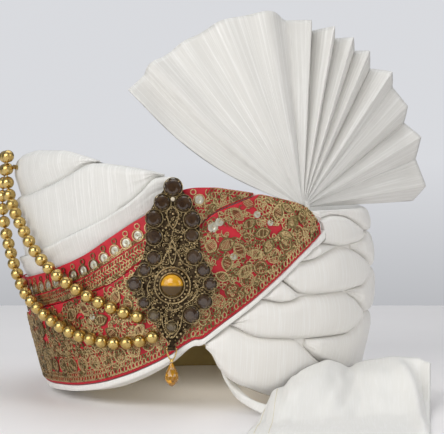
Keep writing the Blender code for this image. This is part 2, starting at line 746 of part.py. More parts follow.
def build_pin(metal):
    """The plain bar that both strings hang on, against the outside of the wall."""
    start, end = STRAND_ROUTES["strand_outer"][0], STRAND_ROUTES["strand_inner"][0]
    middle = (start[0] + end[0]) / 2
    spread = math.degrees(PIN_LENGTH / 2 / OUTER_LEFT)
    height = start[1] * MM - BEAD
    rings = []
    for angle in (middle - spread, middle - spread / 3, middle + spread / 3, middle + spread):
        rings.append([
            wall_point(angle, height, GAP),
            wall_point(angle, height, GAP + PIN_THICKNESS),
            wall_point(angle, height + PIN_WIDTH, GAP + PIN_THICKNESS),
            wall_point(angle, height + PIN_WIDTH, GAP),
        ])
    return loft("strand_pin", rings, metal)


def brooch_frame_matrix():
    """The brooch's own axes: X across, Y up, Z outwards, with its foot at the origin."""
    turn = math.radians(BROOCH_ANGLE)
    out = Vector((math.sin(turn), -math.cos(turn), 0))
    across = Vector((math.cos(turn), math.sin(turn), 0))
    widest = wall_point(BROOCH_ANGLE, PEAK_HEIGHT * FORM[4][0], TIER_STEP - GAP)
    origin = widest + out * BROOCH_STAND
    axes = Matrix((across, Vector((0, 0, 1)), out)).transposed().to_4x4()
    return Matrix.Translation((origin.x, origin.y, BROOCH_FOOT)) @ axes


def turned(work, profile, sides, place):
    """A closed turned solid about a local Z axis; profile rows are radius and height."""
    rows = []
    for radius, height in profile:
        if radius == 0:
            rows.append([work.verts.new(place @ Vector((0, 0, height)))])
        else:
            rows.append([
                work.verts.new(place @ Vector((radius * math.cos(turn), radius * math.sin(turn),
                                               height)))
                for turn in (2 * math.pi * (k + 0.5) / sides for k in range(sides))
            ])
    for row, following in zip(rows, rows[1:]):
        for i in range(sides):
            j = (i + 1) % sides
            if len(row) == 1:
                work.faces.new((row[0], following[i], following[j]))
            elif len(following) == 1:
                work.faces.new((row[i], row[j], following[0]))
            else:
                work.faces.new((row[i], row[j], following[j], following[i]))
    if len(rows[0]) > 1:
        work.faces.new(rows[0])
    if len(rows[-1]) > 1:
        work.faces.new(list(reversed(rows[-1])))


def stone_place(brooch, stone):
    """Matrix of a stone's seat on the brooch."""
    across, up, _ = stone
    return brooch @ Matrix.Translation((across * BROOCH_HEIGHT, up * BROOCH_HEIGHT, 0))


def add_boolean(item, operand, operation):
    """Let one solid add to or cut another."""
    modifier = item.modifiers.new(operation.lower(), "BOOLEAN")
    modifier.operation = operation
    modifier.object = operand
    modifier.solver = "EXACT"
    modifier.use_self = True
    operand.hide_render = True
    operand.display_type = "WIRE"


def build_brooch_frame(gold):
    """The brooch's plate with its collets, bezel, hook and the tube for the drop."""
    brooch = brooch_frame_matrix()
    size = BROOCH_HEIGHT
    right = [(half * size, up * size) for up, half in PLATE_OUTLINE]
    outline = right + [(-x, y) for x, y in reversed(right)]
    plate = loft("brooch_frame", [
        [brooch @ Vector((x, y, level)) for x, y in outline] for level in (0, BROOCH_PLATE)
    ], gold)

    seats = bmesh.new()
    deep = -BROOCH_PLATE / 2
    for stone in DARK_STONES + (CLEAR_STONE, PEAR_STONE, CREAM_CRYSTAL):
        radius = stone[2] * size + COLLET_RIM
        turned(seats, ((radius, BROOCH_PLATE + deep), (radius, BROOCH_PLATE + COLLET)),
               STONE_SIDES, stone_place(brooch, stone))
    bezel = BEZEL * size
    seat = CENTRE_STONE[2] * size + COLLET_RIM
    turned(seats, ((0, BROOCH_PLATE + deep), (bezel, BROOCH_PLATE + deep),
                   (bezel, BROOCH_PLATE + COLLET * 0.6), (seat + COLLET, BROOCH_PLATE + COLLET),
                   (seat, BROOCH_PLATE + COLLET), (0, BROOCH_PLATE + COLLET)),
           BEZEL_SIDES, stone_place(brooch, CENTRE_STONE))
    add_boolean(plate, add_object("brooch_seats", seats, gold), "UNION")

    tube_out = tube_height()
    fittings = bmesh.new()
    neck_low, neck_high = 0.0, 0.06 * size
    half = TUBE_LENGTH * 0.3
    skin_rings(fittings, [
        [brooch @ Vector((x, y, z)) for y, z in (
            (neck_low + TUBE_RADIUS * 0.4, tube_out + TUBE_RADIUS * 0.6),
            (neck_high, BROOCH_PLATE * 1.5), (neck_high, BROOCH_PLATE / 3),
            (neck_high / 2, BROOCH_PLATE / 3),
            (neck_low + TUBE_RADIUS * 0.4, tube_out - TUBE_RADIUS * 0.6))]
        for x in (-half, half)
    ])
    add_boolean(plate, add_object("brooch_neck", fittings, gold), "UNION")

    tube = bmesh.new()
    lying = brooch @ Matrix.Translation((0, 0, tube_out)) @ Matrix.Rotation(math.pi / 2, 4, "Y")
    turned(tube, ((TUBE_RADIUS, -TUBE_LENGTH / 2), (TUBE_RADIUS, TUBE_LENGTH / 2)), 10, lying)
    add_boolean(plate, add_object("brooch_tube", tube, gold), "UNION")
    bore = bmesh.new()
    turned(bore, ((TUBE_BORE, -TUBE_LENGTH), (TUBE_BORE, TUBE_LENGTH)), 8, lying)
    add_boolean(plate, add_object("brooch_bore", bore, gold), "DIFFERENCE")
    return plate


def tube_height():
    """How far the drop's hinge lies in front of the brooch's back."""
    return BROOCH_PLATE + TUBE_RADIUS + DROP_WIDTH * 0.25


def build_stone(name, brooch, stone, profile, height, sides, material):
    """A cut or domed stone on its seat."""
    work = bmesh.new()
    radius = stone[2] * BROOCH_HEIGHT
    base = BROOCH_PLATE + COLLET + GAP
    rows = [(radius * wide, base + height * rise) for wide, rise in profile]
    turned(work, rows, sides, stone_place(brooch, stone))
    return add_object(name, work, material, sharp=15)


def build_stones(smoky, amber, clear, cream):
    """All the stones of the brooch, each on its own seat."""
    brooch = brooch_frame_matrix()
    for number, stone in enumerate(DARK_STONES, start=1):
        height = stone[2] * BROOCH_HEIGHT * STONE_RISE
        build_stone(f"dark_stone_{number:02d}", brooch, stone, STONE_PROFILE, height,
                    STONE_SIDES, smoky)
    build_stone("clear_stone", brooch, CLEAR_STONE, STONE_PROFILE, CLEAR_HEIGHT, STONE_SIDES,
                clear)
    build_stone("centre_stone", brooch, CENTRE_STONE, CABOCHON_PROFILE, CENTRE_HEIGHT,
                BEZEL_SIDES, amber)
    build_stone("pear_stone", brooch, PEAR_STONE, STONE_PROFILE, PEAR_HEIGHT, STONE_SIDES,
                clear)
    build_stone("cream_crystal", brooch, CREAM_CRYSTAL, STONE_PROFILE, CREAM_HEIGHT, STONE_SIDES,
                cream)


def build_drop(gold, amber):
    """The wire bail through the brooch's tube, and the amber drop under its cap."""
    hinge = brooch_frame_matrix() @ Matrix.Translation((0, 0, tube_height()))
    half = TUBE_LENGTH / 2 + BAIL_WIRE + GAP
    foot = BAIL_DROP * 0.16
    corners = [Vector(point) for point in (
        (-half, 0, 0), (half, 0, 0), (half, -BAIL_DROP * 0.28, 0),
        (foot, -BAIL_DROP, 0), (-foot, -BAIL_DROP, 0), (-half, -BAIL_DROP * 0.28, 0))]
    rings = []
    for i, corner in enumerate(corners):
        before, after = corners[i - 1], corners[(i + 1) % len(corners)]
        outward = -((before - corner).normalized() + (after - corner).normalized()).normalized()
        stretch = BAIL_WIRE / max(abs(outward.cross((after - corner).normalized()).z), 0.5)
        rings.append([
            corner + outward * stretch * math.cos(turn)
            + Vector((0, 0, 1)) * BAIL_WIRE * math.sin(turn)
            for turn in (2 * math.pi * k / 6 for k in range(6))
        ])
    bail = loft("drop_bail", rings, gold, ring_closed=True)
    cap_top = -BAIL_DROP + BAIL_WIRE * 0.5
    cap_low = cap_top - DROP_LENGTH * 0.12
    cap = bmesh.new()
    upright = Matrix.Rotation(-math.pi / 2, 4, "X")
    turned(cap, ((BAIL_WIRE * 1.6, cap_top), (DROP_WIDTH * 0.13, cap_low)), 8, upright)
    cap_item = add_object("drop_cap", cap, gold)
    add_boolean(bail, cap_item, "UNION")
    bail.matrix_world = hinge
    cap_item.matrix_world = hinge

    drop = bmesh.new()
    top = cap_low - GAP
    rows = [(DROP_WIDTH / 2 * wide, top - DROP_LENGTH * down) for down, wide in DROP_PROFILE]
    turned(drop, rows, 10, upright)
    stone = add_object("amber_drop", drop, amber, sharp=15)
    stone.matrix_world = hinge


def tail_sheet(white):
    """The spread cloth of the tail: a hump against the turban that falls to the table."""
    half = TAIL_CLOTH / 2
    grid = []
    for far_x, far_y, hump, hem_x in TAIL_FOLDS:
        far_point = TAIL_CORNER + Vector((far_x * TAIL_WIDTH, far_y * TAIL_REACH, 0))
        hem_point = TAIL_CORNER + Vector((hem_x * TAIL_WIDTH, 0, 0))
        row = []
        for run, height in TAIL_FALL:
            point = far_point.lerp(hem_point, run)
            point.z = half + height * hump * TAIL_HUMP
            row.append(point)
        grid.append(row)
    work = bmesh.new()
    lift = Vector((0, 0, half))
    columns, rows = len(grid), len(TAIL_FALL)
    upper = [[work.verts.new(grid[i][j] + lift) for j in range(rows)] for i in range(columns)]
    under = [[work.verts.new(grid[i][j] - lift) for j in range(rows)] for i in range(columns)]
    for i in range(columns - 1):
        for j in range(rows - 1):
            work.faces.new((upper[i][j], upper[i + 1][j], upper[i + 1][j + 1], upper[i][j + 1]))
            work.faces.new((under[i][j], under[i][j + 1], under[i + 1][j + 1], under[i + 1][j]))
        for j in (0, rows - 1):
            work.faces.new((upper[i][j], upper[i + 1][j], under[i + 1][j], under[i][j]))
    for j in range(rows - 1):
        for i in (0, columns - 1):
            work.faces.new((upper[i][j], upper[i][j + 1], under[i][j + 1], under[i][j]))
    return add_object("tail", work, white)


def build_tail(white):
    """The free end: a rolled neck from inside the rim, joined to the spread cloth."""
    sheet = tail_sheet(white)
    route = [Vector(point) * MM for point in NECK_ROUTE]
    centres = spline_points(route, NECK * 1.6)
    last = len(centres) - 1
    sizes = []
    for i in range(last + 1):
        share = i / last
        width = smooth_value(NECK_SECTIONS, share, NECK_COLUMNS.index("width"))
        thickness = smooth_value(NECK_SECTIONS, share, NECK_COLUMNS.index("thickness"))
        sizes.append((NECK / 2 * width, NECK / 2 * thickness))
    work = bmesh.new()
    skin_rings(work, sweep_rings(centres, sizes, NECK_SIDES, Vector((1, 0.3, 0))))
    add_boolean(sheet, add_object("tail_neck", work, white), "UNION")
    return sheet


def centre_on_origin():
    """Move everything so that the origin is under the middle of the bounding box."""
    bpy.context.view_layer.update()
    shown = [item for item in bpy.data.objects if item.type == "MESH"]
    corners = [item.matrix_world @ Vector(corner)
               for item in shown if not item.hide_render for corner in item.bound_box]
    low = Vector(min(corner[axis] for corner in corners) for axis in range(3))
    high = Vector(max(corner[axis] for corner in corners) for axis in range(3))
    shift = Matrix.Translation((-(low.x + high.x) / 2, -(low.y + high.y) / 2, -low.z))
    for item in shown:
        item.matrix_world = shift @ item.matrix_world


def main():
    for item in list(bpy.data.objects):
        bpy.data.objects.remove(item)
    white = paint("white_silk", (0.83, 0.82, 0.80), 0.45)
    lining = paint("khaki_lining", (0.20, 0.17, 0.11), 0.9)
    red = paint("red_brocade", (0.55, 0.02, 0.05), 0.6)
    gold = paint("gold_bead", (0.78, 0.60, 0.28), 0.25, metallic=1.0)
    antique = paint("antique_gold", (0.36, 0.28, 0.16), 0.4, metallic=1.0)
    smoky = paint("smoky_glass", (0.06, 0.045, 0.05), 0.1)
    amber = paint("amber_glass", (0.75, 0.42, 0.03), 0.08, transmission=0.5)
    clear = paint("clear_glass", (0.85, 0.86, 0.82), 0.05, transmission=0.6)
    cream = paint("cream_glass", (0.85, 0.80, 0.68), 0.2)

    build_collar(lining)
    build_crown(white)
    build_band(red, white)
    build_wraps(white)
    build_back_fold(white)
    build_fan(white)
    for name, route in STRAND_ROUTES.items():
        build_strand(name, route, gold)
    build_pin(gold)
    build_brooch_frame(antique)
    build_stones(smoky, amber, clear, cream)
    build_drop(antique, amber)
    build_tail(white)
    centre_on_origin()


main()
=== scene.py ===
"""Studio scene of a tied turban: a wound silk hat with a brocade band, a pleated fan, a
jewelled brooch, two strings of beads and a free cloth end laid on the table.

Lengths are metres.  Places on the turban are measured from the middle of the head's
hollow: a station angle seen from above (0 is the middle of the front, 90 the wearer's
left, 180 the back) and a height above the table.
"""
import math
import random
from bisect import bisect
from functools import lru_cache

import bmesh
import bpy
import numpy as np
from mathutils import Matrix, Vector, noise


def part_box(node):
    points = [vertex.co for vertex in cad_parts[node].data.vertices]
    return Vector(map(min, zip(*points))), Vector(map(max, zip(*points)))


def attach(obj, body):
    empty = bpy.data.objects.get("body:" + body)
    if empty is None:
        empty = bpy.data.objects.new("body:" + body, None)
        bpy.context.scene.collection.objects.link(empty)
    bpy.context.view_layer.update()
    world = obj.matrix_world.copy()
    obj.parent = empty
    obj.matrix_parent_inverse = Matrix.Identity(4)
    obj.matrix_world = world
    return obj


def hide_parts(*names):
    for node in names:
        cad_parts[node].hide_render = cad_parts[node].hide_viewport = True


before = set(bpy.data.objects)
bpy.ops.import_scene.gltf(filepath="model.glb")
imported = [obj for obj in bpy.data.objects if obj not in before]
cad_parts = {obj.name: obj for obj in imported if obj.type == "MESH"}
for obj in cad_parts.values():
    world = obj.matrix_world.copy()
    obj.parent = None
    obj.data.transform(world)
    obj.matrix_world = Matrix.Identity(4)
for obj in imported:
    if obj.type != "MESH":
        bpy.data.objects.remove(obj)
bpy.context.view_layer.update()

bl_info = {
    "name": "Tied turban",
    "version": (1, 0, 0),
    "blender": (4, 5, 0),
    "location": "View3D > Sidebar > Turban",
    "description": "Dresses the frame of a tied turban in silk, brocade, beads and stones",
    "category": "Object",
}

MM = 0.001

# The photograph's frame and the camera that took it
PHOTO_WIDTH = 444
SENSOR = 36.0
FOCAL_PIXELS = 1617.6
CAMERA_DISTANCE = 1.100
CAMERA_ELEVATION = 2.5
CAMERA_TARGET = Vector((10, 0, 115)) * MM

# Outer form of the wound turban and the hollow for the head
PEAK_HEIGHT = 161 * MM
OUTER_LEFT = 130 * MM
OUTER_RIGHT = 113.5 * MM
OUTER_FRONT = 118 * MM
OUTER_BACK = 118 * MM
ARCH_HEIGHT = 41.5 * MM
HEAD_HALF_WIDTH = 84 * MM
HEAD_HALF_DEPTH = 100 * MM
FLARE_LEFT = 0.20
FLARE_RIGHT = 0.083
FLARE_FRONT = 0.033
FLARE_BACK = -0.008
COLLAR_WALL = 2.5 * MM
COLLAR_GAP = 0.8 * MM
COLLAR_HEIGHT = 95 * MM
CROWN_WALL = 2 * MM
CROWN_RISE = 17 * MM
CROWN_PLEATS = 15
CROWN_PLEAT = 0.5 * MM
GAP = 0.3 * MM

# Wound cloth, band and piping
PUFF_DEPTH = 7 * MM
PUFF_ROUNDING = 0.62
UNDER_SILK_DEPTH = 6.4 * MM
UNDER_SILK_WALL = 1 * MM
SIDE_CREST = 0.5 * MM
LAYER_STEP = 3 * MM
LEAST_HEIGHT = 0.5 * MM
BACK_FOLD_BULGE = 4 * MM
PIPING_BULGE = 1.2 * MM
PIPING_PUCKER = 0.12 * MM
BACKING_SINK = 2.6 * MM
LOWER_FACE = 0.8 * MM
UPPER_FACE = -0.5 * MM
BROCADE_ROLL = 0.5 * MM
BAND_START = -172
BAND_END = 40
BAND_TIP = 42.2
UPPER_END = 16

# Creases of the wound cloth: reaches in degrees, then depths
GATHER_REACH = 16
LONG_WRAP = 30
TIP_REACH = 9
TIP_SINK = 3.5 * MM
TUCK_FIRST = 2.8 * MM
TUCK_LOST = 1.8 * MM
BROAD_WAVE = 0.9 * MM
CREASE = 0.25 * MM
GATHERED_CREASE = 1.7 * MM
FULL_CREASE_SWELL = 3 * MM

# Fan; its lowest folds are a little shorter
FAN_LENGTH = 134 * MM
LOW_FOLD_START = 45
LOW_FOLD_RUN = 40
LOW_FOLD_LOSS = 0.035
KNOT_COVER = 6.5 * MM
KNOT_GATHERS = 11
KNOT_GATHER = 0.13
KNOT_DEPTH = 0.8
FAN_WAVE = 1.6 * MM
FAN_RIPPLE = 0.5 * MM
FAN_BELLY = 0.5 * MM
FAN_CENTRE = Vector((0.5383 * OUTER_RIGHT, -0.6424 * OUTER_FRONT, 0.7733 * PEAK_HEIGHT))
SOFT_FOLDS = 6
# Steps across a creased fold, close together at its edges
CREASED_STEPS = (0.0, 0.03, 0.1, 0.3, 0.5, 0.7, 0.9, 0.97)

# Beads
BEAD_PITCH = 8.8 * MM
PIN_LENGTH = 30 * MM
PIN_WIDTH = 3 * MM
PIN_THICKNESS = 1.3 * MM

# Brooch and drop
BROOCH_HEIGHT = 103 * MM
BROOCH_ANGLE = -8.9
BROOCH_FOOT = 40.9 * MM
BROOCH_PLATE = 1.2 * MM
BROOCH_OUT = 1.15 * MM
COLLET = 1.8 * MM
RIM_WIRE = 0.34 * MM
CLAW_WIRE = 0.32 * MM
CLAWS = 4
BEZEL_WIRE = 0.5 * MM
ROPE_BALL = 0.72 * MM
ROPE_BALLS = 22
SCROLL_WIRE = 0.36 * MM
CURL_WIRE = 0.22 * MM
DOME_GIRDLE = 0.6 * MM
DOME_RISE = 3.6 * MM
TUBE_LENGTH = 4.4 * MM
TUBE_RADIUS = 1.6 * MM
BAIL_WIRE = 0.45 * MM
BAIL_DROP = 7 * MM
DROP_LENGTH = 14.5 * MM
DROP_WIDTH = 8.8 * MM

# Free end on the table
TAIL_HUMP = 26 * MM
TAIL_WIDTH = 92 * MM
TAIL_REACH = 92 * MM
TAIL_CORNER = Vector((0.282 * OUTER_RIGHT, -1.610 * OUTER_FRONT, 0))
TAIL_LOW = 0.8 * MM
TAIL_OVERHANG = 6 * MM
TAIL_WAVE = 2.6 * MM
TAIL_RIPPLE = 1.3 * MM
TAIL_GATHER = 2.5 * MM
TAIL_RIDGE = 4 * MM
STITCHED_ROWS = (4, 12)
STITCH = 0.16 * MM
RIDGE_FOLD = 8.3
RIDGE_TURN = 1.3
NECK = 4.6 * MM

# The hat's middle in the frame, found from the knot that the fan is sewn to
HAT = sum(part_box("fan_knot"), Vector()) / 2 - FAN_CENTRE

# Outer form: share of PEAK_HEIGHT, then shares of the left, right, front and back sizes
FORM = (
    (0.000, 0.823, 0.881, 0.966, 0.958), (0.093, 0.858, 0.916, 0.979, 0.975),
    (0.199, 0.892, 0.952, 0.987, 0.990), (0.311, 0.927, 0.987, 0.994, 1.000),
    (0.497, 0.973, 1.000, 1.000, 1.000), (0.776, 0.996, 0.952, 1.000, 0.950),
    (1.000, 1.000, 0.881, 0.966, 0.890),
)
LEFT, RIGHT, FRONT, BACK = 1, 2, 3, 4

# Seams: station angle and share of PEAK_HEIGHT
RIM = (  # a share of ARCH_HEIGHT
    (-180, 0), (-95, 0), (-80, 0.04), (-61, 0.13), (-50, 0.17), (-37, 0.27),
    (-25, 0.44), (-17.5, 0.59), (-11, 0.75), (-6, 0.92), (-2.5, 1), (1.5, 0.88),
    (5, 0.63), (9, 0.47), (13, 0.37), (18.5, 0.29), (25, 0.19), (36, 0.08), (48, 0),
    (180, 0),
)
BAND_LOW = (
    (-180, 0.038), (-90, 0.045), (-70, 0.052), (-50, 0.067), (-37, 0.092),
    (-25, 0.133), (-17.5, 0.172), (-11, 0.213), (-1.5, 0.280), (5, 0.340),
    (14, 0.422), (24, 0.522), (31.5, 0.596), (37, 0.643), (40, 0.671), (44, 0.700),
)
BAND_TOP = (
    (-180, 0.450), (-90, 0.472), (-74, 0.478), (-57, 0.509), (-46, 0.548),
    (-37.5, 0.589), (-27, 0.670), (-21, 0.720), (-15, 0.768), (-9.5, 0.817),
    (-5.5, 0.853), (-1.5, 0.859), (3, 0.859), (8, 0.852), (15, 0.840), (24, 0.819),
    (33.5, 0.790), (37, 0.762), (40, 0.717), (44, 0.702),
)
TIER = (
    (-180, 0.300), (-90, 0.318), (-58, 0.371), (-43.5, 0.413), (-35, 0.447),
    (-29.5, 0.475), (-15, 0.600), (-1.5, 0.720), (3, 0.762), (12, 0.807),
    (18, 0.832), (24, 0.850),
)
BACKING_LOW_END = ((36, 0.612), (40, 0.637), (42.2, 0.655))
BACKING_TOP_END = ((32, 0.795), (36, 0.776), (40, 0.742), (42.2, 0.711))
LAYER_A_TOP = (
    (-180, 0.565), (-90, 0.553), (-75, 0.562), (-54.5, 0.614), (-39, 0.687),
    (-30, 0.736), (-22, 0.797), (-17.5, 0.847), (-14, 0.893), (-10, 0.898), (-5, 0.866),
)
LAYER_B_TOP = (
    (-180, 0.680), (-110, 0.765), (-90, 0.795), (-68, 0.816), (-52.5, 0.856),
    (-44, 0.893), (-33, 0.948), (-26.5, 0.941), (-20.5, 0.930), (-15, 0.916), (-12, 0.905),
)
LAYER_C_TOP = (
    (-180, 0.770), (-150, 0.810), (-120, 0.880), (-90, 0.950), (-75, 0.975),
    (-66, 0.988), (-58, 0.998), (-46, 0.998), (-38, 0.979), (-32, 0.955),
)
PUFF_7_TOP = (
    (0, 0.380), (9, 0.329), (18, 0.283), (31, 0.267), (36, 0.233), (42, 0.186),
    (48, 0.149), (54, 0.116), (60, 0.078), (64, 0.050), (68, 0.025), (72, 0.003), (76, 0),
)
PUFF_6_LOW = (
    (9, 0.329), (18, 0.283), (31, 0.267), (55, 0.263), (63, 0.292), (68, 0.323),
    (72, 0.335), (90, 0.329), (130, 0.323), (180, 0.317),
)
PUFF_6_TOP = (
    (12, 0.435), (19, 0.429), (25.5, 0.414), (35, 0.435), (52, 0.437), (60, 0.410),
    (66, 0.363), (70, 0.342), (72, 0.335), (90, 0.329), (130, 0.323), (180, 0.317),
)
PUFF_4_LOW = (
    (18, 0.540), (25, 0.502), (33, 0.444), (44, 0.436), (64, 0.446), (70, 0.472),
    (74, 0.497), (78, 0.516), (90, 0.509), (130, 0.497), (180, 0.491),
)
PUFF_4_TOP = (
    (25, 0.571), (33.5, 0.568), (44.5, 0.600), (53, 0.615), (62, 0.596),
    (68, 0.568), (74, 0.534), (78, 0.516), (90, 0.509), (130, 0.497), (180, 0.491),
)
PUFF_2_LOW = (
    (39, 0.638), (45, 0.630), (53, 0.618), (62, 0.624), (71, 0.647), (76, 0.666),
    (90, 0.657), (130, 0.638), (180, 0.625),
)
PUFF_2_TOP = (
    (38, 0.712), (44, 0.733), (50, 0.742), (58, 0.733), (66, 0.702), (72, 0.673),
    (76, 0.666), (90, 0.657), (130, 0.638), (180, 0.625),
)
SIDE_TOP = ((34, 0.758), (45, 0.763), (60, 0.762), (90, 0.762), (130, 0.768), (180, 0.770))

# Sections of wound cloth: share of its height, share of its swell
PUFF_SECTION = (
    (0, 0.20), (0.03, 0.60), (0.09, 0.86), (0.35, 1.0), (0.72, 0.91), (0.92, 0.62), (1, 0.15),
)
SIDE_SECTION = (
    (0, 0.42), (0.04, 0.66), (0.15, 0.88), (0.45, 1.0), (0.78, 0.93), (0.94, 0.72), (1, 0.42),
)
LAYER_SECTION = ((0, -0.45), (0.3, 0.10), (0.7, 0.72), (0.88, 1.0), (0.96, 0.82), (1, 0.2))
TOP_SECTION = ((0, -0.45), (0.3, 0.45), (0.62, 1.0), (0.86, 0.72), (1, -0.30))

# Fan folds: lean and turn-back in degrees, bow as a share of FAN_LENGTH
FAN_FOLDS = (
    (-56.0, 1, 0.075), (-50.5, 9, 0.040), (-45.5, 9, 0.020), (-34.0, 14, 0.005),
    (-21.5, 14, 0), (-8.8, 18, 0), (-4.0, 24, 0), (3.8, 24, 0), (4.4, 30, 0),
    (11.3, 26, 0), (12.5, 32, 0), (18.3, 29, 0), (20.4, 35, 0), (25.2, 32, 0),
    (28.5, 39, 0), (35.8, 35, 0), (39.5, 40, 0), (49.0, 41, 0), (53.6, 46, 0),
    (62.4, 43, 0), (70.2, 48, 0), (83.0, 46, 0), (89.5, 51, 0),
)

# Soft waves of the fan's left part: lean in degrees, push to the front at the rim in mm
FAN_WAVES = (
    (-56.0, -6.0), (-51.5, -2.5), (-46.5, 2.4), (-41.0, -1.6), (-35.5, 2.0), (-29.5, -1.4),
    (-24.0, 1.4), (-17.0, -1.2), (-9.6, 2.4), (-6.0, 0.0), (0.0, 0.0),
)

# Brooch: across, up and radius as shares of BROOCH_HEIGHT
DARK_STONES = (
    (0.007, 0.945, 0.050), (-0.056, 0.856, 0.045), (0.069, 0.851, 0.046),
    (-0.107, 0.762, 0.047), (0.121, 0.756, 0.046), (-0.108, 0.652, 0.045),
    (0.119, 0.664, 0.037), (-0.108, 0.528, 0.038), (0.132, 0.537, 0.043),
    (-0.165, 0.457, 0.034), (0.187, 0.460, 0.037), (-0.227, 0.373, 0.041),
    (0.228, 0.379, 0.035), (-0.170, 0.262, 0.030), (0.193, 0.276, 0.042),
    (0.114, 0.197, 0.046),
)
CLEAR_STONE = (-0.108, 0.188, 0.034)
CENTRE_STONE = (0.000, 0.367, 0.066)
PEAR_STONE = (-0.004, 0.122, 0.030)
CREAM_CRYSTAL = (0.006, 0.876, 0.014)
# Shares of BROOCH_HEIGHT: centre stone's rim, room round a stone, rim beyond a stone, claw
# inwards of that rim, and margin of the plate
BEZEL = 0.107
RIM_SPACE = 0.011
RIM_BEYOND = 0.006
CLAW_INWARDS = 0.011
PLATE_MARGIN = 0.008
# Cut stone: share of its radius, share of its height
CUT = ((0.80, 0.0), (0.97, 0.22), (0.97, 0.34), (0.80, 0.74), (0.52, 1.0))
PLATE_OUTLINE = (
    (0.025, 0.024), (0.075, 0.062), (0.125, 0.105), (0.200, 0.138), (0.255, 0.185),
    (0.300, 0.235), (0.375, 0.268), (0.455, 0.222), (0.535, 0.176), (0.650, 0.156),
    (0.760, 0.160), (0.850, 0.112), (0.930, 0.054), (0.985, 0.028),
)
# Bright balls placed one by one, across and up
BRIGHT_BALLS = (
    (-0.036, 0.795), (0.007, 0.789), (-0.030, 0.772), (0.044, 0.760), (0.007, 0.725),
    (0.044, 0.731), (-0.036, 0.707), (0.056, 0.655), (-0.042, 0.660), (-0.067, 0.163),
    (-0.067, 0.104), (-0.055, 0.081), (-0.030, 0.063), (0.030, 0.063), (0.052, 0.083),
)
# Balls and curls strewn between the stones, and the room that each ball keeps
BALLS = 230
BALL_TRIES = 9000
HAND_BALL_ROOM = 0.016
BALL_ROOM = 0.0155
# Scrolled wires, rows of across and up
SCROLLS = (
    ((0.000, 0.600), (-0.035, 0.555), (-0.060, 0.505), (-0.115, 0.462)),
    ((0.000, 0.600), (0.035, 0.555), (0.062, 0.505), (0.125, 0.470)),
    ((0.000, 0.640), (-0.020, 0.575), (-0.012, 0.515), (0.000, 0.490)),
    ((0.000, 0.640), (0.022, 0.575), (0.014, 0.515), (0.000, 0.490)),
    ((-0.130, 0.400), (-0.150, 0.345), (-0.120, 0.290), (-0.080, 0.262)),
    ((0.130, 0.400), (0.155, 0.345), (0.125, 0.290), (0.085, 0.262)),
    ((-0.060, 0.245), (-0.020, 0.225), (0.020, 0.225), (0.062, 0.245)),
    ((-0.062, 0.190), (-0.052, 0.120), (-0.004, 0.055), (0.046, 0.120), (0.058, 0.190)),
    ((-0.040, 0.160), (-0.034, 0.115), (-0.004, 0.078), (0.028, 0.115), (0.034, 0.160)),
    ((0.000, 0.835), (-0.030, 0.800), (-0.020, 0.740), (0.005, 0.700)),
    ((0.000, 0.835), (0.036, 0.800), (0.030, 0.740), (0.005, 0.700)),
)

# Faceted drop: share of DROP_LENGTH down, share of DROP_WIDTH
DROP_SECTION = (
    (0.00, 0.16), (0.14, 0.38), (0.28, 0.60), (0.42, 0.82), (0.56, 0.97), (0.70, 0.97),
    (0.83, 0.76), (0.93, 0.46), (1.00, 0.14),
)

# Strings of beads: station angle, height and distance from the wall, in millimetres
STRAND_ROUTES = {
    "strand_inner": (
        (-74.0, 156.5, 6.3), (-75.8, 148.0, 6.2), (-76.2, 139.0, 5.8),
        (-73.5, 129.0, 5.3), (-67.5, 118.5, 5.0), (-59.5, 104.5, 5.0),
        (-53.5, 93.5, 5.2), (-46.5, 84.0, 5.4), (-39.5, 75.8, 5.4),
        (-31.5, 68.0, 5.4), (-25.0, 62.6, 5.4), (-19.0, 59.2, 5.4),
    ),
    "strand_outer": (
        (-84.5, 156.0, 6.3), (-85.0, 144.0, 7.0), (-84.5, 131.0, 8.5),
        (-83.5, 117.0, 8.5), (-81.5, 104.5, 7.2), (-76.0, 93.0, 6.2),
        (-71.0, 81.0, 5.6), (-65.0, 68.3, 5.4), (-57.0, 58.8, 5.4),
        (-49.0, 51.3, 5.4), (-41.0, 45.8, 5.4), (-33.0, 43.0, 5.4),
        (-25.6, 42.2, 5.4), (-18.0, 44.6, 5.4), (-15.0, 47.0, 5.4),
    ),
}

# Tail: neck route in millimetres; folds across the cloth as far_x, far_y, hump, hem_x
NECK_ROUTE = (
    (9.5, -97.0, 37), (10.8, -96.0, 29), (12.5, -94.5, 21.5), (15.5, -96.5, 15.2),
    (20, -104.5, 10.4), (25.5, -113, 7.2), (31.5, -120, 5.0), (38, -125, 3.5),
    (42, -129, 2.9),
)
NECK_SECTIONS = ((0.0, 1.25, 1.15), (0.7, 1.3, 1.0), (1.0, 2.3, 0.6))
TAIL_FOLDS = (
    (0.05, 0.70, 0.04, -0.09), (0.09, 0.84, 0.35, 0.00), (0.20, 0.90, 0.60, 0.10),
    (0.29, 0.97, 0.86, 0.20), (0.47, 1.14, 1.00, 0.36), (0.58, 1.25, 0.90, 0.48),
    (0.67, 1.39, 0.79, 0.60), (0.77, 1.47, 0.90, 0.70), (0.91, 1.47, 0.97, 0.82),
    (1.13, 1.39, 1.00, 0.95), (1.20, 1.25, 0.94, 1.03),
)
TAIL_FALL = ((0.0, 1.0), (0.22, 0.80), (0.46, 0.30), (0.62, 0.04), (0.82, 0.0), (1.0, 0.0))

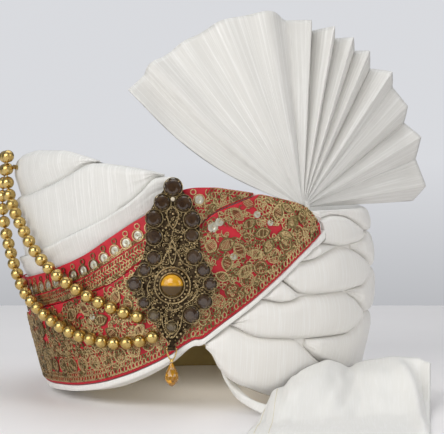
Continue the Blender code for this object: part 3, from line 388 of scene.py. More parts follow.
# Large leaves of the brocade: station angle, height in mm, turn in degrees, length, width
LEAVES = (
    (10.0, 121.9, -42, 10.5, 6.2), (13.7, 128.6, -52, 10.5, 8.0), (13.9, 115.8, 30, 10.0, 5.6),
    (23.9, 122.2, 80, 11.0, 7.4), (27.3, 125.1, -30, 9.5, 5.2), (6.6, 103.4, 32, 11.5, 7.0),
    (10.5, 100.0, -55, 10.5, 6.6), (6.6, 92.2, 88, 10.0, 6.4), (18.1, 110.2, 15, 11.0, 6.4),
    (19.9, 102.1, 60, 10.5, 6.0), (15.6, 97.5, -10, 9.5, 5.6), (12.2, 87.0, 40, 10.5, 6.4),
    (28.9, 116.5, 40, 10.5, 6.0), (32.6, 120.0, 75, 9.5, 6.0), (26.0, 108.6, -15, 10.0, 5.6),
    (1.7, 102.6, 70, 8.5, 6.8), (5.1, 84.0, -20, 9.0, 5.6), (-0.5, 90.0, 100, 9.0, 6.4),
    (-42.9, 57.5, 35, 10.5, 6.6), (-37.4, 61.5, -48, 10.0, 6.2), (-32.0, 55.5, 18, 11.0, 6.6),
    (-26.1, 70.1, 60, 9.5, 6.2), (-22.2, 66.5, 120, 8.5, 6.0), (-28.5, 47.5, -30, 10.5, 6.4),
    (-39.0, 46.5, 8, 10.5, 6.2), (-46.5, 50.0, 70, 10.0, 6.4), (-50.4, 43.2, -35, 10.0, 6.2),
    (-55.8, 50.6, 24, 11.0, 6.4), (-62.0, 44.1, 65, 11.0, 6.6), (-68.0, 49.0, -30, 11.0, 6.4),
    (-36.0, 52.0, 95, 8.0, 5.4), (-72.5, 38.0, 20, 11.0, 6.4), (-19.5, 50.5, 44, 9.5, 6.0),
)
# Sequins of the brocade: station angle, height and radius in millimetres
SEQUINS = (
    (2.3, 114.0, 3.2), (4.4, 117.2, 2.6), (16.6, 121.5, 2.2), (-35.0, 57.0, 2.2),
    (-24.4, 60.5, 2.2), (21.0, 116.4, 2.0), (8.6, 96.0, 2.2),
)
# Rings of the upper tier beside the brooch: station angle, height and radius in millimetres
UPPER_RINGS = ((-3.3, 135.3, 1.6), (-1.7, 130.6, 3.3))

# Embroidery: share of dull thread, and how far a thread may rise from the cloth
DULL_SHARE = 0.36
THREAD_LIFT = 0.45 * MM

# Silks: threads across and along, depth of the slub, pink and brightness of its streaks
SILKS = {
    "crown_silk": (1900.0, 20.0, 0.25, 0.2, 0.92),
    "back_silk": (1900.0, 20.0, 0.3, 0.2, 0.92),
    "layer_silk": (2100.0, 15.0, 0.8, 0.15, 0.86),
    "puff_silk": (2600.0, 26.0, 0.25, 0.8, 0.94),
    "piping_silk": (2000.0, 60.0, 0.2, 0.5, 0.93),
    "fan_silk": (1900.0, 9.0, 0.9, 0.35, 0.84),
    "tail_silk": (1900.0, 50.0, 0.12, 0.1, 0.96),
}
# Plain cloths: colour, threads, roughness and sheen
CLOTHS = {
    "khaki_lining_cloth": ("lining", 1500.0, 0.9, 0.1),
    "red_brocade_cloth": ("brocade", 1500.0, 0.62, 0.0),
    "cream_thread": ("stitch", 2500.0, 0.7, 0.1),
}
# Stones: colour, clearness and roughness
STONES = {
    "smoky_stone": ("smoke", 0.0, 0.05),
    "clear_stone_glass": ("clear", 0.3, 0.04),
    "cream_stone_glass": ("cream", 0.1, 0.08),
    "amber_drop_glass": ("amber", 0.55, 0.04),
}
# Metals: colour, roughness, share of colour left in the tarnish, its spots and its bump
METALS = {
    "antique_gilt": ("antique", 0.34, 0.22, 520.0, 0.5),
    "bright_gilt": ("wire", 0.24, 0.42, 900.0, 0.25),
    "gold_thread": ("zari", 0.42, 0.50, 1500.0, 0.5),
    "dull_thread": ("dull", 0.38, 0.45, 1500.0, 0.5),
    "sequin_silver": ("sequin", 0.40, 0.75, 500.0, 0.1),
    "bead_gilt": ("bead", 0.20, 0.80, 240.0, 0.06),
    "drop_gilt": ("bead", 0.22, 0.7, 500.0, 0.1),
}

# Soft lights: name, place, aim, size, watts and tint
AREA_LIGHTS = (
    ("key", (-0.72, -1.42, 0.92), (0, 0, 0.10), 0.9, 12.6, (1.0, 0.99, 0.97)),
    ("overhead", (0.05, 0.38, 1.28), (0, 0.22, 0), 1.4, 7.8, (0.97, 0.98, 1.0)),
    ("fill_right", (1.22, -0.88, 0.66), (0.05, 0, 0.13), 0.9, 8.0, (1.0, 0.99, 0.98)),
    ("fill_left", (-1.20, -0.95, 0.55), (-0.15, -0.20, 0), 0.9, 7.2, (0.98, 0.99, 1.0)),
    ("fill_low", (0.0, -1.0, 0.10), (0, 0, 0.03), 0.4, 0.4, (1.0, 0.98, 0.95)),
)
# A small lamp for the light that the table throws back into the hollow
BOUNCE_PLACE = (0.0, 0.0, 0.055)
BOUNCE_SIZE = 0.02
BOUNCE_WATTS = 0.052
BOUNCE_TINT = (1.0, 0.95, 0.86)
# Light from around, and how dark the painted shade makes the wall at its foot
SURROUND_DARK = (0.02, 0.018, 0.016, 1)
SURROUND_PALE = (0.40, 0.42, 0.45, 1)
WALL_FOOT_PAINTED_SHADE = 0.70

# Table: far and near edge, half its length, thickness and the round of its far edge
TABLE_FAR = 0.56
TABLE_NEAR = -2.4
TABLE_SIDE = 3.0
TABLE_THICK = 0.03
TABLE_ROUND = 0.006


def smooth_value(table, place, column=1):
    """Read a column of a table at a place, on a smooth curve that never overshoots."""
    if place <= table[0][0]:
        return table[0][column]
    if place >= table[-1][0]:
        return table[-1][column]
    last = len(table) - 1
    index = min(bisect([row[0] for row in table], place) - 1, last - 1)

    def slope(i):
        return (table[i + 1][column] - table[i][column]) / (table[i + 1][0] - table[i][0])

    def tangent(i):
        if i == 0 or i == last:
            return slope(max(i - 1, 0))
        before, after = slope(i - 1), slope(i)
        return 0 if before * after <= 0 else 2 * before * after / (before + after)

    width = table[index + 1][0] - table[index][0]
    t = (place - table[index][0]) / width
    start, end = table[index][column], table[index + 1][column]
    return (
        start * (1 + 2 * t) * (1 - t) ** 2 + end * t * t * (3 - 2 * t)
        + width * tangent(index) * t * (1 - t) ** 2
        - width * tangent(index + 1) * t * t * (1 - t)
    )


@lru_cache(maxsize=None)
def form_share(step, column):
    """Share of a half-width at a height given in twentieths of a millimetre."""
    return smooth_value(FORM, step * 0.05 * MM / PEAK_HEIGHT, column)


def oval_point(angle, height, half_x, half_y, out):
    """A point of an oval at a station angle, moved outwards by out."""
    turn = math.radians(angle)
    return Vector(((half_x + out) * math.sin(turn), -(half_y + out) * math.cos(turn), height))


def wall_point(angle, height, out=0.0):
    """A point on the outer form of the turban."""
    right = math.sin(math.radians(angle)) >= 0
    front = math.cos(math.radians(angle)) >= 0
    step = round(height / (0.05 * MM))
    half_x = (OUTER_RIGHT if right else OUTER_LEFT) * form_share(step, RIGHT if right else LEFT)
    half_y = (OUTER_FRONT if front else OUTER_BACK) * form_share(step, FRONT if front else BACK)
    return oval_point(angle, height, half_x, half_y, out)


def hollow_point(angle, height, out=0.0):
    """A point on the inner face of the collar, which the head fills."""
    right = math.sin(math.radians(angle)) >= 0
    front = math.cos(math.radians(angle)) >= 0
    half_x = HEAD_HALF_WIDTH + height * (FLARE_RIGHT if right else FLARE_LEFT)
    half_y = HEAD_HALF_DEPTH + height * (FLARE_FRONT if front else FLARE_BACK)
    return oval_point(angle, height, half_x, half_y, out)


def seam(*tables):
    """Height at a station angle of a seam, or of the highest of several."""
    return lambda angle: PEAK_HEIGHT * max(smooth_value(table, angle) for table in tables)


def inner_point(angle, height):
    """A point on the inner side of the wound cloth, just outside the collar."""
    return hollow_point(angle, height, COLLAR_WALL + COLLAR_GAP)


def rim(angle):
    """Height of the turban's lower edge."""
    return ARCH_HEIGHT * smooth_value(RIM, angle)


def backing_low(angle):
    """Lower edge of the white piping."""
    if angle >= BACKING_LOW_END[0][0]:
        return seam(BACKING_LOW_END)(angle)
    return max(rim(angle), seam(BAND_LOW)(angle) - piping())


def brocade_low(angle):
    """Lower edge of the red brocade."""
    return max(seam(BAND_LOW)(angle), backing_low(angle) + piping())


def backing_top(angle):
    """Upper edge of the white strip behind the brocade."""
    table = BACKING_TOP_END if angle >= BACKING_TOP_END[0][0] else BAND_TOP
    return seam(table)(angle)


def under_band(table):
    """A seam of the right side, where it runs in under the band."""
    own = seam(table)
    return lambda angle: min(own(angle), backing_low(angle)) if angle <= BAND_TIP else own(angle)


def over_band(table):
    """The lower seam of the side wrap, which starts on top of the band's end."""
    own = seam(table)
    return lambda angle: backing_top(angle) if angle <= BAND_TIP else own(angle)


def side_foot(angle):
    """Lower seam of the lowest side wrap."""
    return max(rim(angle), seam(PUFF_7_TOP)(angle))


def tier_line(angle):
    """Height where the lower tier of brocade ends."""
    return min(seam(TIER)(angle), seam(BAND_TOP)(angle))


def spread(start, end, step):
    """Even values from start to end, about step apart."""
    count = max(round(abs(end - start) / step), 1)
    return [start + (end - start) * i / count for i in range(count + 1)]


def turns(count, shift=0.0):
    """Even turns round a circle, in radians."""
    return [2 * math.pi * (k + shift) / count for k in range(count)]


def running(points):
    """Distances along a list of points."""
    total = [0.0]
    for start, end in zip(points, points[1:]):
        total.append(total[-1] + (end - start).length)
    return total


def heading(points, i):
    """The way along a list at one of its points, from its neighbours."""
    return points[min(i + 1, len(points) - 1)] - points[max(i - 1, 0)]


def locate(values, place):
    """The step of rising values that a place falls in, and its share of that step."""
    i = min(max(bisect(values, place) - 1, 0), len(values) - 2)
    return i, (place - values[i]) / (values[i + 1] - values[i])


def curve_point(before, start, end, after, t):
    """A point between start and end, on a smooth curve through all four points."""
    return 0.5 * (2 * start + (end - before) * t
                  + (2 * before - 5 * start + 4 * end - after) * t * t
                  + (3 * start - before - 3 * end + after) * t ** 3)


def spline(route, count):
    """Points at even distances on a smooth curve through a route, and the curve's length."""
    last = len(route) - 1
    dense = [curve_point(route[max(i - 1, 0)], route[i], route[i + 1],
                         route[min(i + 2, last)], k / 24)
             for i in range(last) for k in range(24)]
    dense.append(route[-1])
    reach = running(dense)
    points = []
    for k in range(count):
        i, share = locate(reach, reach[-1] * k / (count - 1))
        points.append(dense[i].lerp(dense[i + 1], share))
    return points, reach[-1]


def facing(place, way):
    """Matrix of a seat at a place that looks along a way."""
    return Matrix.Translation(place) @ way.to_track_quat("Z", "Y").to_matrix().to_4x4()


def as_array(points):
    """Points as rows of numbers."""
    return np.asarray([tuple(point) for point in points], float)


def piping():
    """Width of the white piping, as set by the user."""
    return bpy.context.scene.turban_sizes.piping


# Materials and the node groups that they share

def join(tree, kind, sockets=None, **settings):
    """Add a shader node; a socket's value is a number, a colour or another node's output."""
    item = tree.nodes.new("ShaderNode" + kind)
    for key, value in settings.items():
        setattr(item, key, value)
    for key, value in (sockets or {}).items():
        if isinstance(value, bpy.types.NodeSocket):
            tree.links.new(value, item.inputs[key])
        else:
            item.inputs[key].default_value = value
    return item


def blend_colours(tree, share, first, second):
    """Mix two colours by a share."""
    mix = join(tree, "Mix", {"Factor": share}, data_type="RGBA")
    for socket, value in ((mix.inputs[6], first), (mix.inputs[7], second)):
        if isinstance(value, bpy.types.NodeSocket):
            tree.links.new(value, socket)
        else:
            socket.default_value = value
    return mix.outputs[2]


def start_group(name, inputs, outputs):
    """A new node group with float inputs, a vector input and float outputs."""
    group = bpy.data.node_groups.new(name, "ShaderNodeTree")
    group.interface.new_socket("Vector", in_out="INPUT", socket_type="NodeSocketVector")
    for socket, value in inputs:
        made = group.interface.new_socket(socket, in_out="INPUT", socket_type="NodeSocketFloat")
        made.default_value = value
    for socket in outputs:
        group.interface.new_socket(socket, in_out="OUTPUT", socket_type="NodeSocketFloat")
    return group, group.nodes.new("NodeGroupInput"), group.nodes.new("NodeGroupOutput")


def slub_group():
    """Raw silk: long uneven threads across the cloth and a fine even weave under them."""
    group, given, result = start_group(
        "Slub threads", (("Across", 900.0), ("Along", 22.0)), ("Height", "Streak"))
    parts = join(group, "SeparateXYZ", {"Vector": given.outputs["Vector"]})

    def product(first, second):
        return join(group, "Math", {0: first, 1: second}, operation="MULTIPLY").outputs[0]

    def streaks(wide, long, detail):
        x = product(product(parts.outputs["X"], given.outputs["Across"]), wide)
        y = product(product(parts.outputs["Y"], given.outputs["Along"]), long)
        place = join(group, "CombineXYZ", {"X": x, "Y": y})
        return join(group, "TexNoise", {"Vector": place.outputs[0], "Scale": 1.0,
                                        "Detail": detail, "Roughness": 0.6}).outputs["Fac"]

    broad = join(group, "MapRange", {"Value": streaks(0.45, 1.0, 2.0), "From Min": 0.48,
                                     "From Max": 0.72}).outputs["Result"]
    fine = streaks(2.6, 9.0, 1.0)
    height = join(group, "Math", {0: broad, 1: 0.62, 2: fine}, operation="MULTIPLY_ADD")
    group.links.new(height.outputs[0], result.inputs["Height"])
    group.links.new(broad, result.inputs["Streak"])
    return group


def weave_group():
    """Plain weave: two crossing sets of even threads."""
    group, given, result = start_group("Plain weave", (("Threads", 1800.0),), ("Height",))
    place = join(group, "VectorMath", {0: given.outputs["Vector"]}, operation="SCALE")
    group.links.new(given.outputs["Threads"], place.inputs["Scale"])
    waves = [join(group, "TexWave", {"Vector": place.outputs[0], "Scale": 0.35,
                                     "Distortion": 0.6, "Detail": 1.0},
                  bands_direction=side).outputs["Fac"] for side in ("X", "Y")]
    both = join(group, "Math", {0: waves[0], 1: waves[1]}, operation="MAXIMUM")
    group.links.new(both.outputs[0], result.inputs["Height"])
    return group


def tarnish_group():
    """Uneven darkening in spots and broad patches, as on old gilt."""
    group, given, result = start_group("Tarnish", (("Spots", 700.0),), ("Mask", "Height"))
    spots = join(group, "TexNoise", {"Vector": given.outputs["Vector"],
                                     "Scale": given.outputs["Spots"], "Detail": 3.0})
    mask = join(group, "MapRange", {"Value": spots.outputs["Fac"], "From Min": 0.38,
                                    "From Max": 0.66})
    group.links.new(mask.outputs["Result"], result.inputs["Mask"])
    group.links.new(spots.outputs["Fac"], result.inputs["Height"])
    return group


def shared_group(name, maker):
    """A node group that is built once."""
    return bpy.data.node_groups.get(name) or maker()


def new_material(name, roughness=0.5, metallic=0.0, **more):
    """A material with its Principled shader's own sockets set."""
    material = bpy.data.materials.new(name)
    material.use_nodes = True
    tree = material.node_tree
    shader = tree.nodes["Principled BSDF"]
    shader.inputs["Roughness"].default_value = roughness
    shader.inputs["Metallic"].default_value = metallic
    for key, value in more.items():
        shader.inputs[key.replace("_", " ").title().replace("Ior", "IOR")].default_value = value
    return material, tree, shader


def place_group(tree, name, maker, vector, **values):
    """Put a shared node group into a material."""
    item = join(tree, "Group", node_tree=shared_group(name, maker))
    tree.links.new(vector, item.inputs["Vector"])
    for key, value in values.items():
        item.inputs[key].default_value = value
    return item


def mottle(tree, shader, place, spots, colour, shares):
    """Colour a material and darken it in spots to shares of its red, green and blue."""
    light = tuple(getattr(bpy.context.scene.turban_colours, colour))
    dark = tuple(value * share for value, share in zip(light, shares))
    tarnish = place_group(tree, "Tarnish", tarnish_group, place, Spots=spots)
    tint = blend_colours(tree, tarnish.outputs["Mask"], light + (1,), dark + (1,))
    tree.links.new(tint, shader.inputs["Base Color"])
    return tarnish


def vary_roughness(tree, shader, mask, least, most):
    """Let a mask lead the roughness from one value to another."""
    rough = join(tree, "MapRange", {"Value": mask, "To Min": least, "To Max": most})
    tree.links.new(rough.outputs["Result"], shader.inputs["Roughness"])


def dent(tree, shader, height, strength, distance):
    """Feed a height to the shader through a bump."""
    bump = join(tree, "Bump", {"Height": height, "Strength": strength, "Distance": distance})
    tree.links.new(bump.outputs["Normal"], shader.inputs["Normal"])


def rgba(colour, share=1.0):
    """A colour property as a socket's value, made darker by a share."""
    return (colour[0] * share, colour[1] * share, colour[2] * share, 1.0)


@lru_cache(maxsize=None)
def silk(name):
    """White slubbed silk; its streaks are shade as bright as the rest, and pinkish by warm."""
    across, along, strength, warm, shade = SILKS[name]
    colour = bpy.context.scene.turban_colours.silk
    material, tree, shader = new_material(name, 0.5, sheen_weight=0.25, sheen_roughness=0.35)
    uv = join(tree, "UVMap", uv_map="cloth").outputs["UV"]
    slub = place_group(tree, "Slub threads", slub_group, uv, Across=across, Along=along)
    dark = (colour[0] * shade, colour[1] * (shade - 0.02 * warm),
            colour[2] * (shade - 0.01 - 0.03 * warm), 1)
    tint = blend_colours(tree, slub.outputs["Streak"], dark, rgba(colour))
    tree.links.new(tint, shader.inputs["Base Color"])
    vary_roughness(tree, shader, slub.outputs["Streak"], 0.56, 0.38)
    dent(tree, shader, slub.outputs["Height"], strength, 0.25 * MM)
    return material


@lru_cache(maxsize=None)
def plain_cloth(name):
    """A plain woven cloth with a fine weave and slight soiling."""
    colour, threads, roughness, sheen = CLOTHS[name]
    material, tree, shader = new_material(name, roughness, sheen_weight=sheen)
    uv = join(tree, "UVMap", uv_map="cloth").outputs["UV"]
    weave = place_group(tree, "Plain weave", weave_group, uv, Threads=threads)
    mottle(tree, shader, uv, 60.0, colour, (0.82, 0.80, 0.80))
    dent(tree, shader, weave.outputs["Height"], 0.35, 0.15 * MM)
    return material


@lru_cache(maxsize=None)
def metal(name):
    """Gilt or silver; dark is the share of colour left in its tarnish."""
    colour, roughness, dark, spots, bump = METALS[name]
    material, tree, shader = new_material(name, roughness, metallic=1.0)
    place = join(tree, "TexCoord").outputs["Object"]
    tarnish = mottle(tree, shader, place, spots, colour, (dark, dark * 0.95, dark * 0.85))
    vary_roughness(tree, shader, tarnish.outputs["Mask"], roughness, min(roughness + 0.18, 1.0))
    dent(tree, shader, tarnish.outputs["Height"], bump, 0.1 * MM)
    return material


@lru_cache(maxsize=None)
def stone_material(name):
    """Glass stone; a faint cloud inside it varies its colour."""
    colour, clearness, roughness = STONES[name]
    material, tree, shader = new_material(name, roughness, ior=1.54, coat_weight=0.25,
                                          coat_roughness=0.02, transmission_weight=clearness)
    place = join(tree, "TexCoord").outputs["Object"]
    mottle(tree, shader, place, 260.0, colour, (0.55, 0.5, 0.55))
    return material


# Mesh making

def new_piece(name, points, faces, material, sharp=None, uvs=None, tidy=True):
    """A smooth object from points about the hat's middle, with normals facing out."""
    mesh = bpy.data.meshes.new(name)
    places = as_array(points) + np.array(HAT)
    mesh.from_pydata(places.tolist(), [], faces)
    if uvs is not None:
        layer = mesh.uv_layers.new(name="cloth")
        layer.data.foreach_set("uv", np.asarray(uvs, np.float32).ravel())
    if tidy:
        work = bmesh.new()
        work.from_mesh(mesh)
        bmesh.ops.recalc_face_normals(work, faces=work.faces)
        work.to_mesh(mesh)
        work.free()
    mesh.shade_smooth()
    if sharp is not None:
        mesh.set_sharp_from_angle(angle=math.radians(sharp))
    mesh.materials.append(material)
    piece = bpy.data.objects.new(name, mesh)
    bpy.context.scene.collection.objects.link(piece)
    return piece


def grid_piece(name, rows, material, tube=False, ring=False, sharp=None):
    """A skin over rows of points; a tube closes each row and a ring closes the run."""
    count, width = len(rows), len(rows[0])
    middle = rows[count // 2]
    v = running(middle + [middle[0]] if tube else middle)
    spine = [sum(row, Vector()) / width for row in rows]
    u = running(spine + [spine[0]] if ring else spine)
    faces, uvs = [], []
    for i in range(count if ring else count - 1):
        following = (i + 1) % count
        for j in range(width if tube else width - 1):
            k = (j + 1) % width
            faces.append((i * width + j, i * width + k, following * width + k,
                          following * width + j))
            uvs += [(u[i], v[j]), (u[i], v[j + 1]), (u[i + 1], v[j + 1]), (u[i + 1], v[j])]
    if tube and not ring:
        last = (count - 1) * width
        faces += [tuple(reversed(range(width))), tuple(range(last, last + width))]
        uvs += [(end, v[j]) for end in (u[0], u[-1]) for j in range(width)]
    points = [point for row in rows for point in row]
    return new_piece(name, points, faces, material, sharp, uvs)


def doubled(rows, thickness, taper=None):
    """Closed rows for a thin sheet: its face, then its back in the other direction."""
    count, width = len(rows), len(rows[0])
    normals = []
    for i in range(count):
        line = []
        for j in range(width):
            along = rows[min(i + 1, count - 1)][j] - rows[max(i - 1, 0)][j]
            line.append(along.cross(heading(rows[i], j)).normalized())
        normals.append(line)
    made = []
    for i in range(count):
        half = [thickness / 2 * (taper(j / (width - 1)) if taper else 1) for j in range(width)]
        face = [rows[i][j] + normals[i][j] * half[j] for j in range(width)]
        back = [rows[i][j] - normals[i][j] * half[j] for j in range(width)]
        made.append(face + back[::-1])
    return made


def dress(piece, slot, *nodes, body="turban"):
    """Let a piece ride its body and stand for CAD nodes, whose parts are hidden. Its slot is not
    used.
    """
    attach(piece, body)
    if nodes:
        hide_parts(*nodes)
    return piece


class Wirework:
    """Collects wires and balls, and makes them into one mesh."""

    def __init__(self, sides=4):
        self.sides = sides
        self.points = []
        self.faces = []
        self.count = 0

    def wire(self, path, radius, out, closed=False):
        """A round wire along a path; out is roughly square to it."""
        path = as_array(path)
        ahead = np.roll(path, -1, axis=0) - np.roll(path, 1, axis=0)
        if not closed:
            ahead[0], ahead[-1] = path[1] - path[0], path[-1] - path[-2]
        ahead /= np.linalg.norm(ahead, axis=1)[:, None] + 1e-12
        side = np.cross(ahead, np.asarray(tuple(out), float))
        side /= np.linalg.norm(side, axis=1)[:, None] + 1e-12
        other = np.cross(side, ahead)
        rings = np.stack([path + radius * (side * math.cos(t) + other * math.sin(t))
                          for t in turns(self.sides, 0.5)], axis=1)
        self.points.append(rings.reshape(-1, 3))
        number, first, sides = len(path), self.count, self.sides
        for i in range(number if closed else number - 1):
            here, there = first + i * sides, first + (i + 1) % number * sides
            for k in range(sides):
                j = (k + 1) % sides
                self.faces.append((here + k, here + j, there + j, there + k))
        if not closed:
            self.caps(first, first + (number - 1) * sides, sides)
        self.count += number * sides

    def caps(self, first, end, sides):
        """Close the first and the last ring of a tube."""
        self.faces.append(tuple(first + k for k in reversed(range(sides))))
        self.faces.append(tuple(end + k for k in range(sides)))

    def turned(self, place, profile, sides, half_step=False):
        """A closed turned form; place is a matrix and profile rows are radius and height."""
        first = self.count
        for number, (radius, height) in enumerate(profile):
            shift = 0.5 * (number % 2) if half_step else 0.0
            self.points.append(as_array(
                place @ Vector((radius * math.cos(turn), radius * math.sin(turn), height))
                for turn in turns(sides, shift)))
        for i in range(len(profile) - 1):
            here, there = first + i * sides, first + (i + 1) * sides
            for k in range(sides):
                j = (k + 1) % sides
                a, b, c, d = here + k, here + j, there + j, there + k
                if not half_step:
                    self.faces.append((a, b, c, d))
                elif i % 2 == 0:
                    self.faces += [(a, b, d), (b, c, d)]
                else:
                    self.faces += [(a, b, c), (a, c, d)]
        self.caps(first, first + (len(profile) - 1) * sides, sides)
        self.count += len(profile) * sides

    def ball(self, place, radius, sides=10, rings=6):
        """A small ball."""
        profile = [(max(radius * math.sin(math.pi * i / rings), radius * 0.08),
                    -radius * math.cos(math.pi * i / rings)) for i in range(rings + 1)]
        self.turned(Matrix.Translation(place), profile, sides)

    def make(self, name, material, sharp=60, tidy=False):
        """The one mesh of everything collected."""
        return new_piece(name, np.concatenate(self.points), self.faces, material, sharp,
                         tidy=tidy)


def wound_cloth(node, start, end, low, high, section, depth, crest, share, seed, material,
                roll=0.0):
    """A padded strip of wound cloth between two seams, with soft creases at its ends.

    A flat layer has no share and sinks in at its tip; roll lowers the inner top edge.
    """
    outer_count = 15
    rows = []
    for angle in spread(start, end, 1.0):
        bottom = low(angle) + GAP / 2
        height = max(high(angle) - GAP / 2 - bottom, LEAST_HEIGHT)
        tuck = 0.0 if crest else TUCK_FIRST - TUCK_LOST * (angle - start) / (end - start)
        swell = depth if share is None else min(depth, height * share + tuck)
        from_end = min(angle - start, end - angle)
        gather = max(0.0, 1 - from_end / GATHER_REACH) ** 1.5
        gather *= min((end - start) / LONG_WRAP, 1) ** 3
        sink = 0.0 if share is not None else TIP_SINK * max(0.0, 1 - (end - angle) / TIP_REACH) ** 2
        row = []
        for k in range(outer_count):
            t = k / (outer_count - 1)
            t = 0.5 - 0.5 * math.cos(math.pi * t) if share is not None else t ** 0.8
            broad = noise.noise(Vector((angle * 0.10, t * 1.7, seed)))
            crease = noise.noise(Vector((angle * 0.07, t * 7.0 + angle * 0.02, seed + 9.0)))
            push = BROAD_WAVE * broad + (CREASE + GATHERED_CREASE * gather) * crease
            push *= math.sin(math.pi * t) * min(swell / FULL_CREASE_SWELL, 1)
            rise = swell * smooth_value(section, t)
            row.append(wall_point(angle, bottom + t * height, crest - depth + rise + push - sink))
        if roll:
            inner = inner_point(angle, bottom + height)
            for step in (0.3, 0.65):
                point = row[outer_count - 1].lerp(inner, step)
                point.z -= roll * step ** 2
                row.append(point)
        row.append(inner_point(angle, bottom + height - roll))
        row.append(inner_point(angle, bottom))
        rows.append(row)
    piece = grid_piece(node + "_silk", rows, material, tube=True, sharp=65)
    dress(piece, "white_silk", node)
    return piece


class TURBAN_OT_stage(bpy.types.Operator):
    """Set up the table, the backdrop, the soft lights and the camera"""
    bl_idname = "turban.stage"
    bl_label = "Stage"

    def execute(self, context):
        self.table()
        self.lights(context.scene)
        self.surround(context.scene)
        self.camera(context.scene)
        context.scene.view_settings.view_transform = "Standard"
        return {"FINISHED"}

    @staticmethod
    def table():
        """A pale table whose far edge shows low in the picture."""
        round_start = TABLE_FAR - TABLE_ROUND
        profile = [(TABLE_NEAR, -TABLE_THICK), (TABLE_NEAR, 0.0), (-0.6, 0.0), (0.0, 0.0)]
        profile += [(round_start + TABLE_ROUND * math.sin(turn),
                     TABLE_ROUND * (math.cos(turn) - 1))
                    for turn in spread(0, math.pi / 2, math.pi / 12)]
        profile += [(TABLE_FAR, -TABLE_THICK)]
        rows = [[Vector((x, y, z)) for y, z in profile]
                for x in (-TABLE_SIDE, -1.0, 1.0, TABLE_SIDE)]
        material, tree, shader = new_material("table_top", 0.6)
        place = join(tree, "TexCoord").outputs["Object"]
        mottle(tree, shader, place, 9.0, "table", (0.985, 0.985, 0.985))
        floor = grid_piece("table", rows, material, tube=True)

    def lights(self, scene):
        """A large key from the upper left, a softbox overhead, low fills and a bounce."""
        for name, place, aim, size, watts, tint in AREA_LIGHTS:
            lamp = self.lamp(scene, name, "AREA", place, watts, tint)
            lamp.data.shape = "SQUARE"
            lamp.data.size = size
            way = Vector(aim) - lamp.location
            lamp.rotation_euler = way.to_track_quat("-Z", "Y").to_euler()
        bounce = self.lamp(scene, "inside_bounce", "POINT", BOUNCE_PLACE, BOUNCE_WATTS, BOUNCE_TINT)
        bounce.data.shadow_soft_size = BOUNCE_SIZE

    @staticmethod
    def lamp(scene, name, kind, place, watts, tint):
        """A lamp that the camera doesn't see."""
        data = bpy.data.lights.new(name, kind)
        data.energy = watts
        data.color = tint
        lamp = bpy.data.objects.new(name, data)
        lamp.location = Vector(place)
        lamp.visible_camera = False
        scene.collection.objects.link(lamp)
        return lamp

    @staticmethod
    def surround(scene):
        """Light that is paler above and behind, and the pale wall seen past the table, with painted
        shade at its foot.
        """
        colour = scene.turban_colours.backdrop
        world = bpy.data.worlds.new("surround")
        world.use_nodes = True
        tree = world.node_tree
        way = join(tree, "SeparateXYZ", {"Vector": join(tree, "TexCoord").outputs["Generated"]})
        up = join(tree, "MapRange", {"Value": way.outputs["Z"], "From Min": -0.4,
                                     "From Max": 0.9, "To Min": 0.05, "To Max": 1.0})
        far = join(tree, "MapRange", {"Value": way.outputs["Y"], "From Min": -0.8,
                                      "From Max": 0.5, "To Min": 0.35, "To Max": 1.0})
        both = join(tree, "Math", {0: up.outputs["Result"], 1: far.outputs["Result"]},
                    operation="MULTIPLY")
        light = blend_colours(tree, both.outputs[0], SURROUND_DARK, SURROUND_PALE)
        # Painted shade: the wall that the camera sees darkens towards its foot by the table
        rise = join(tree, "MapRange", {"Value": way.outputs["Z"], "From Min": -0.10,
                                       "From Max": -0.01}).outputs["Result"]
        wall = blend_colours(tree, rise, rgba(colour, WALL_FOOT_PAINTED_SHADE), rgba(colour))
        seen = join(tree, "LightPath").outputs["Is Camera Ray"]
        background = tree.nodes["Background"]
        tree.links.new(blend_colours(tree, seen, light, wall), background.inputs["Color"])
        scene.world = world

    @staticmethod
    def camera(scene):
        """The camera at the photograph's place."""
        data = bpy.data.cameras.new("photo_camera")
        data.sensor_width = SENSOR
        data.lens = FOCAL_PIXELS / PHOTO_WIDTH * SENSOR
        data.clip_start = 0.05
        data.clip_end = 20
        camera = bpy.data.objects.new("photo_camera", data)
        tilt = math.radians(CAMERA_ELEVATION)
        target = HAT + CAMERA_TARGET
        back = Vector((0, -math.cos(tilt), math.sin(tilt)))
        camera.location = target + back * CAMERA_DISTANCE
        camera.rotation_euler = (-back).to_track_quat("-Z", "Y").to_euler()
        scene.collection.objects.link(camera)
        scene.camera = camera


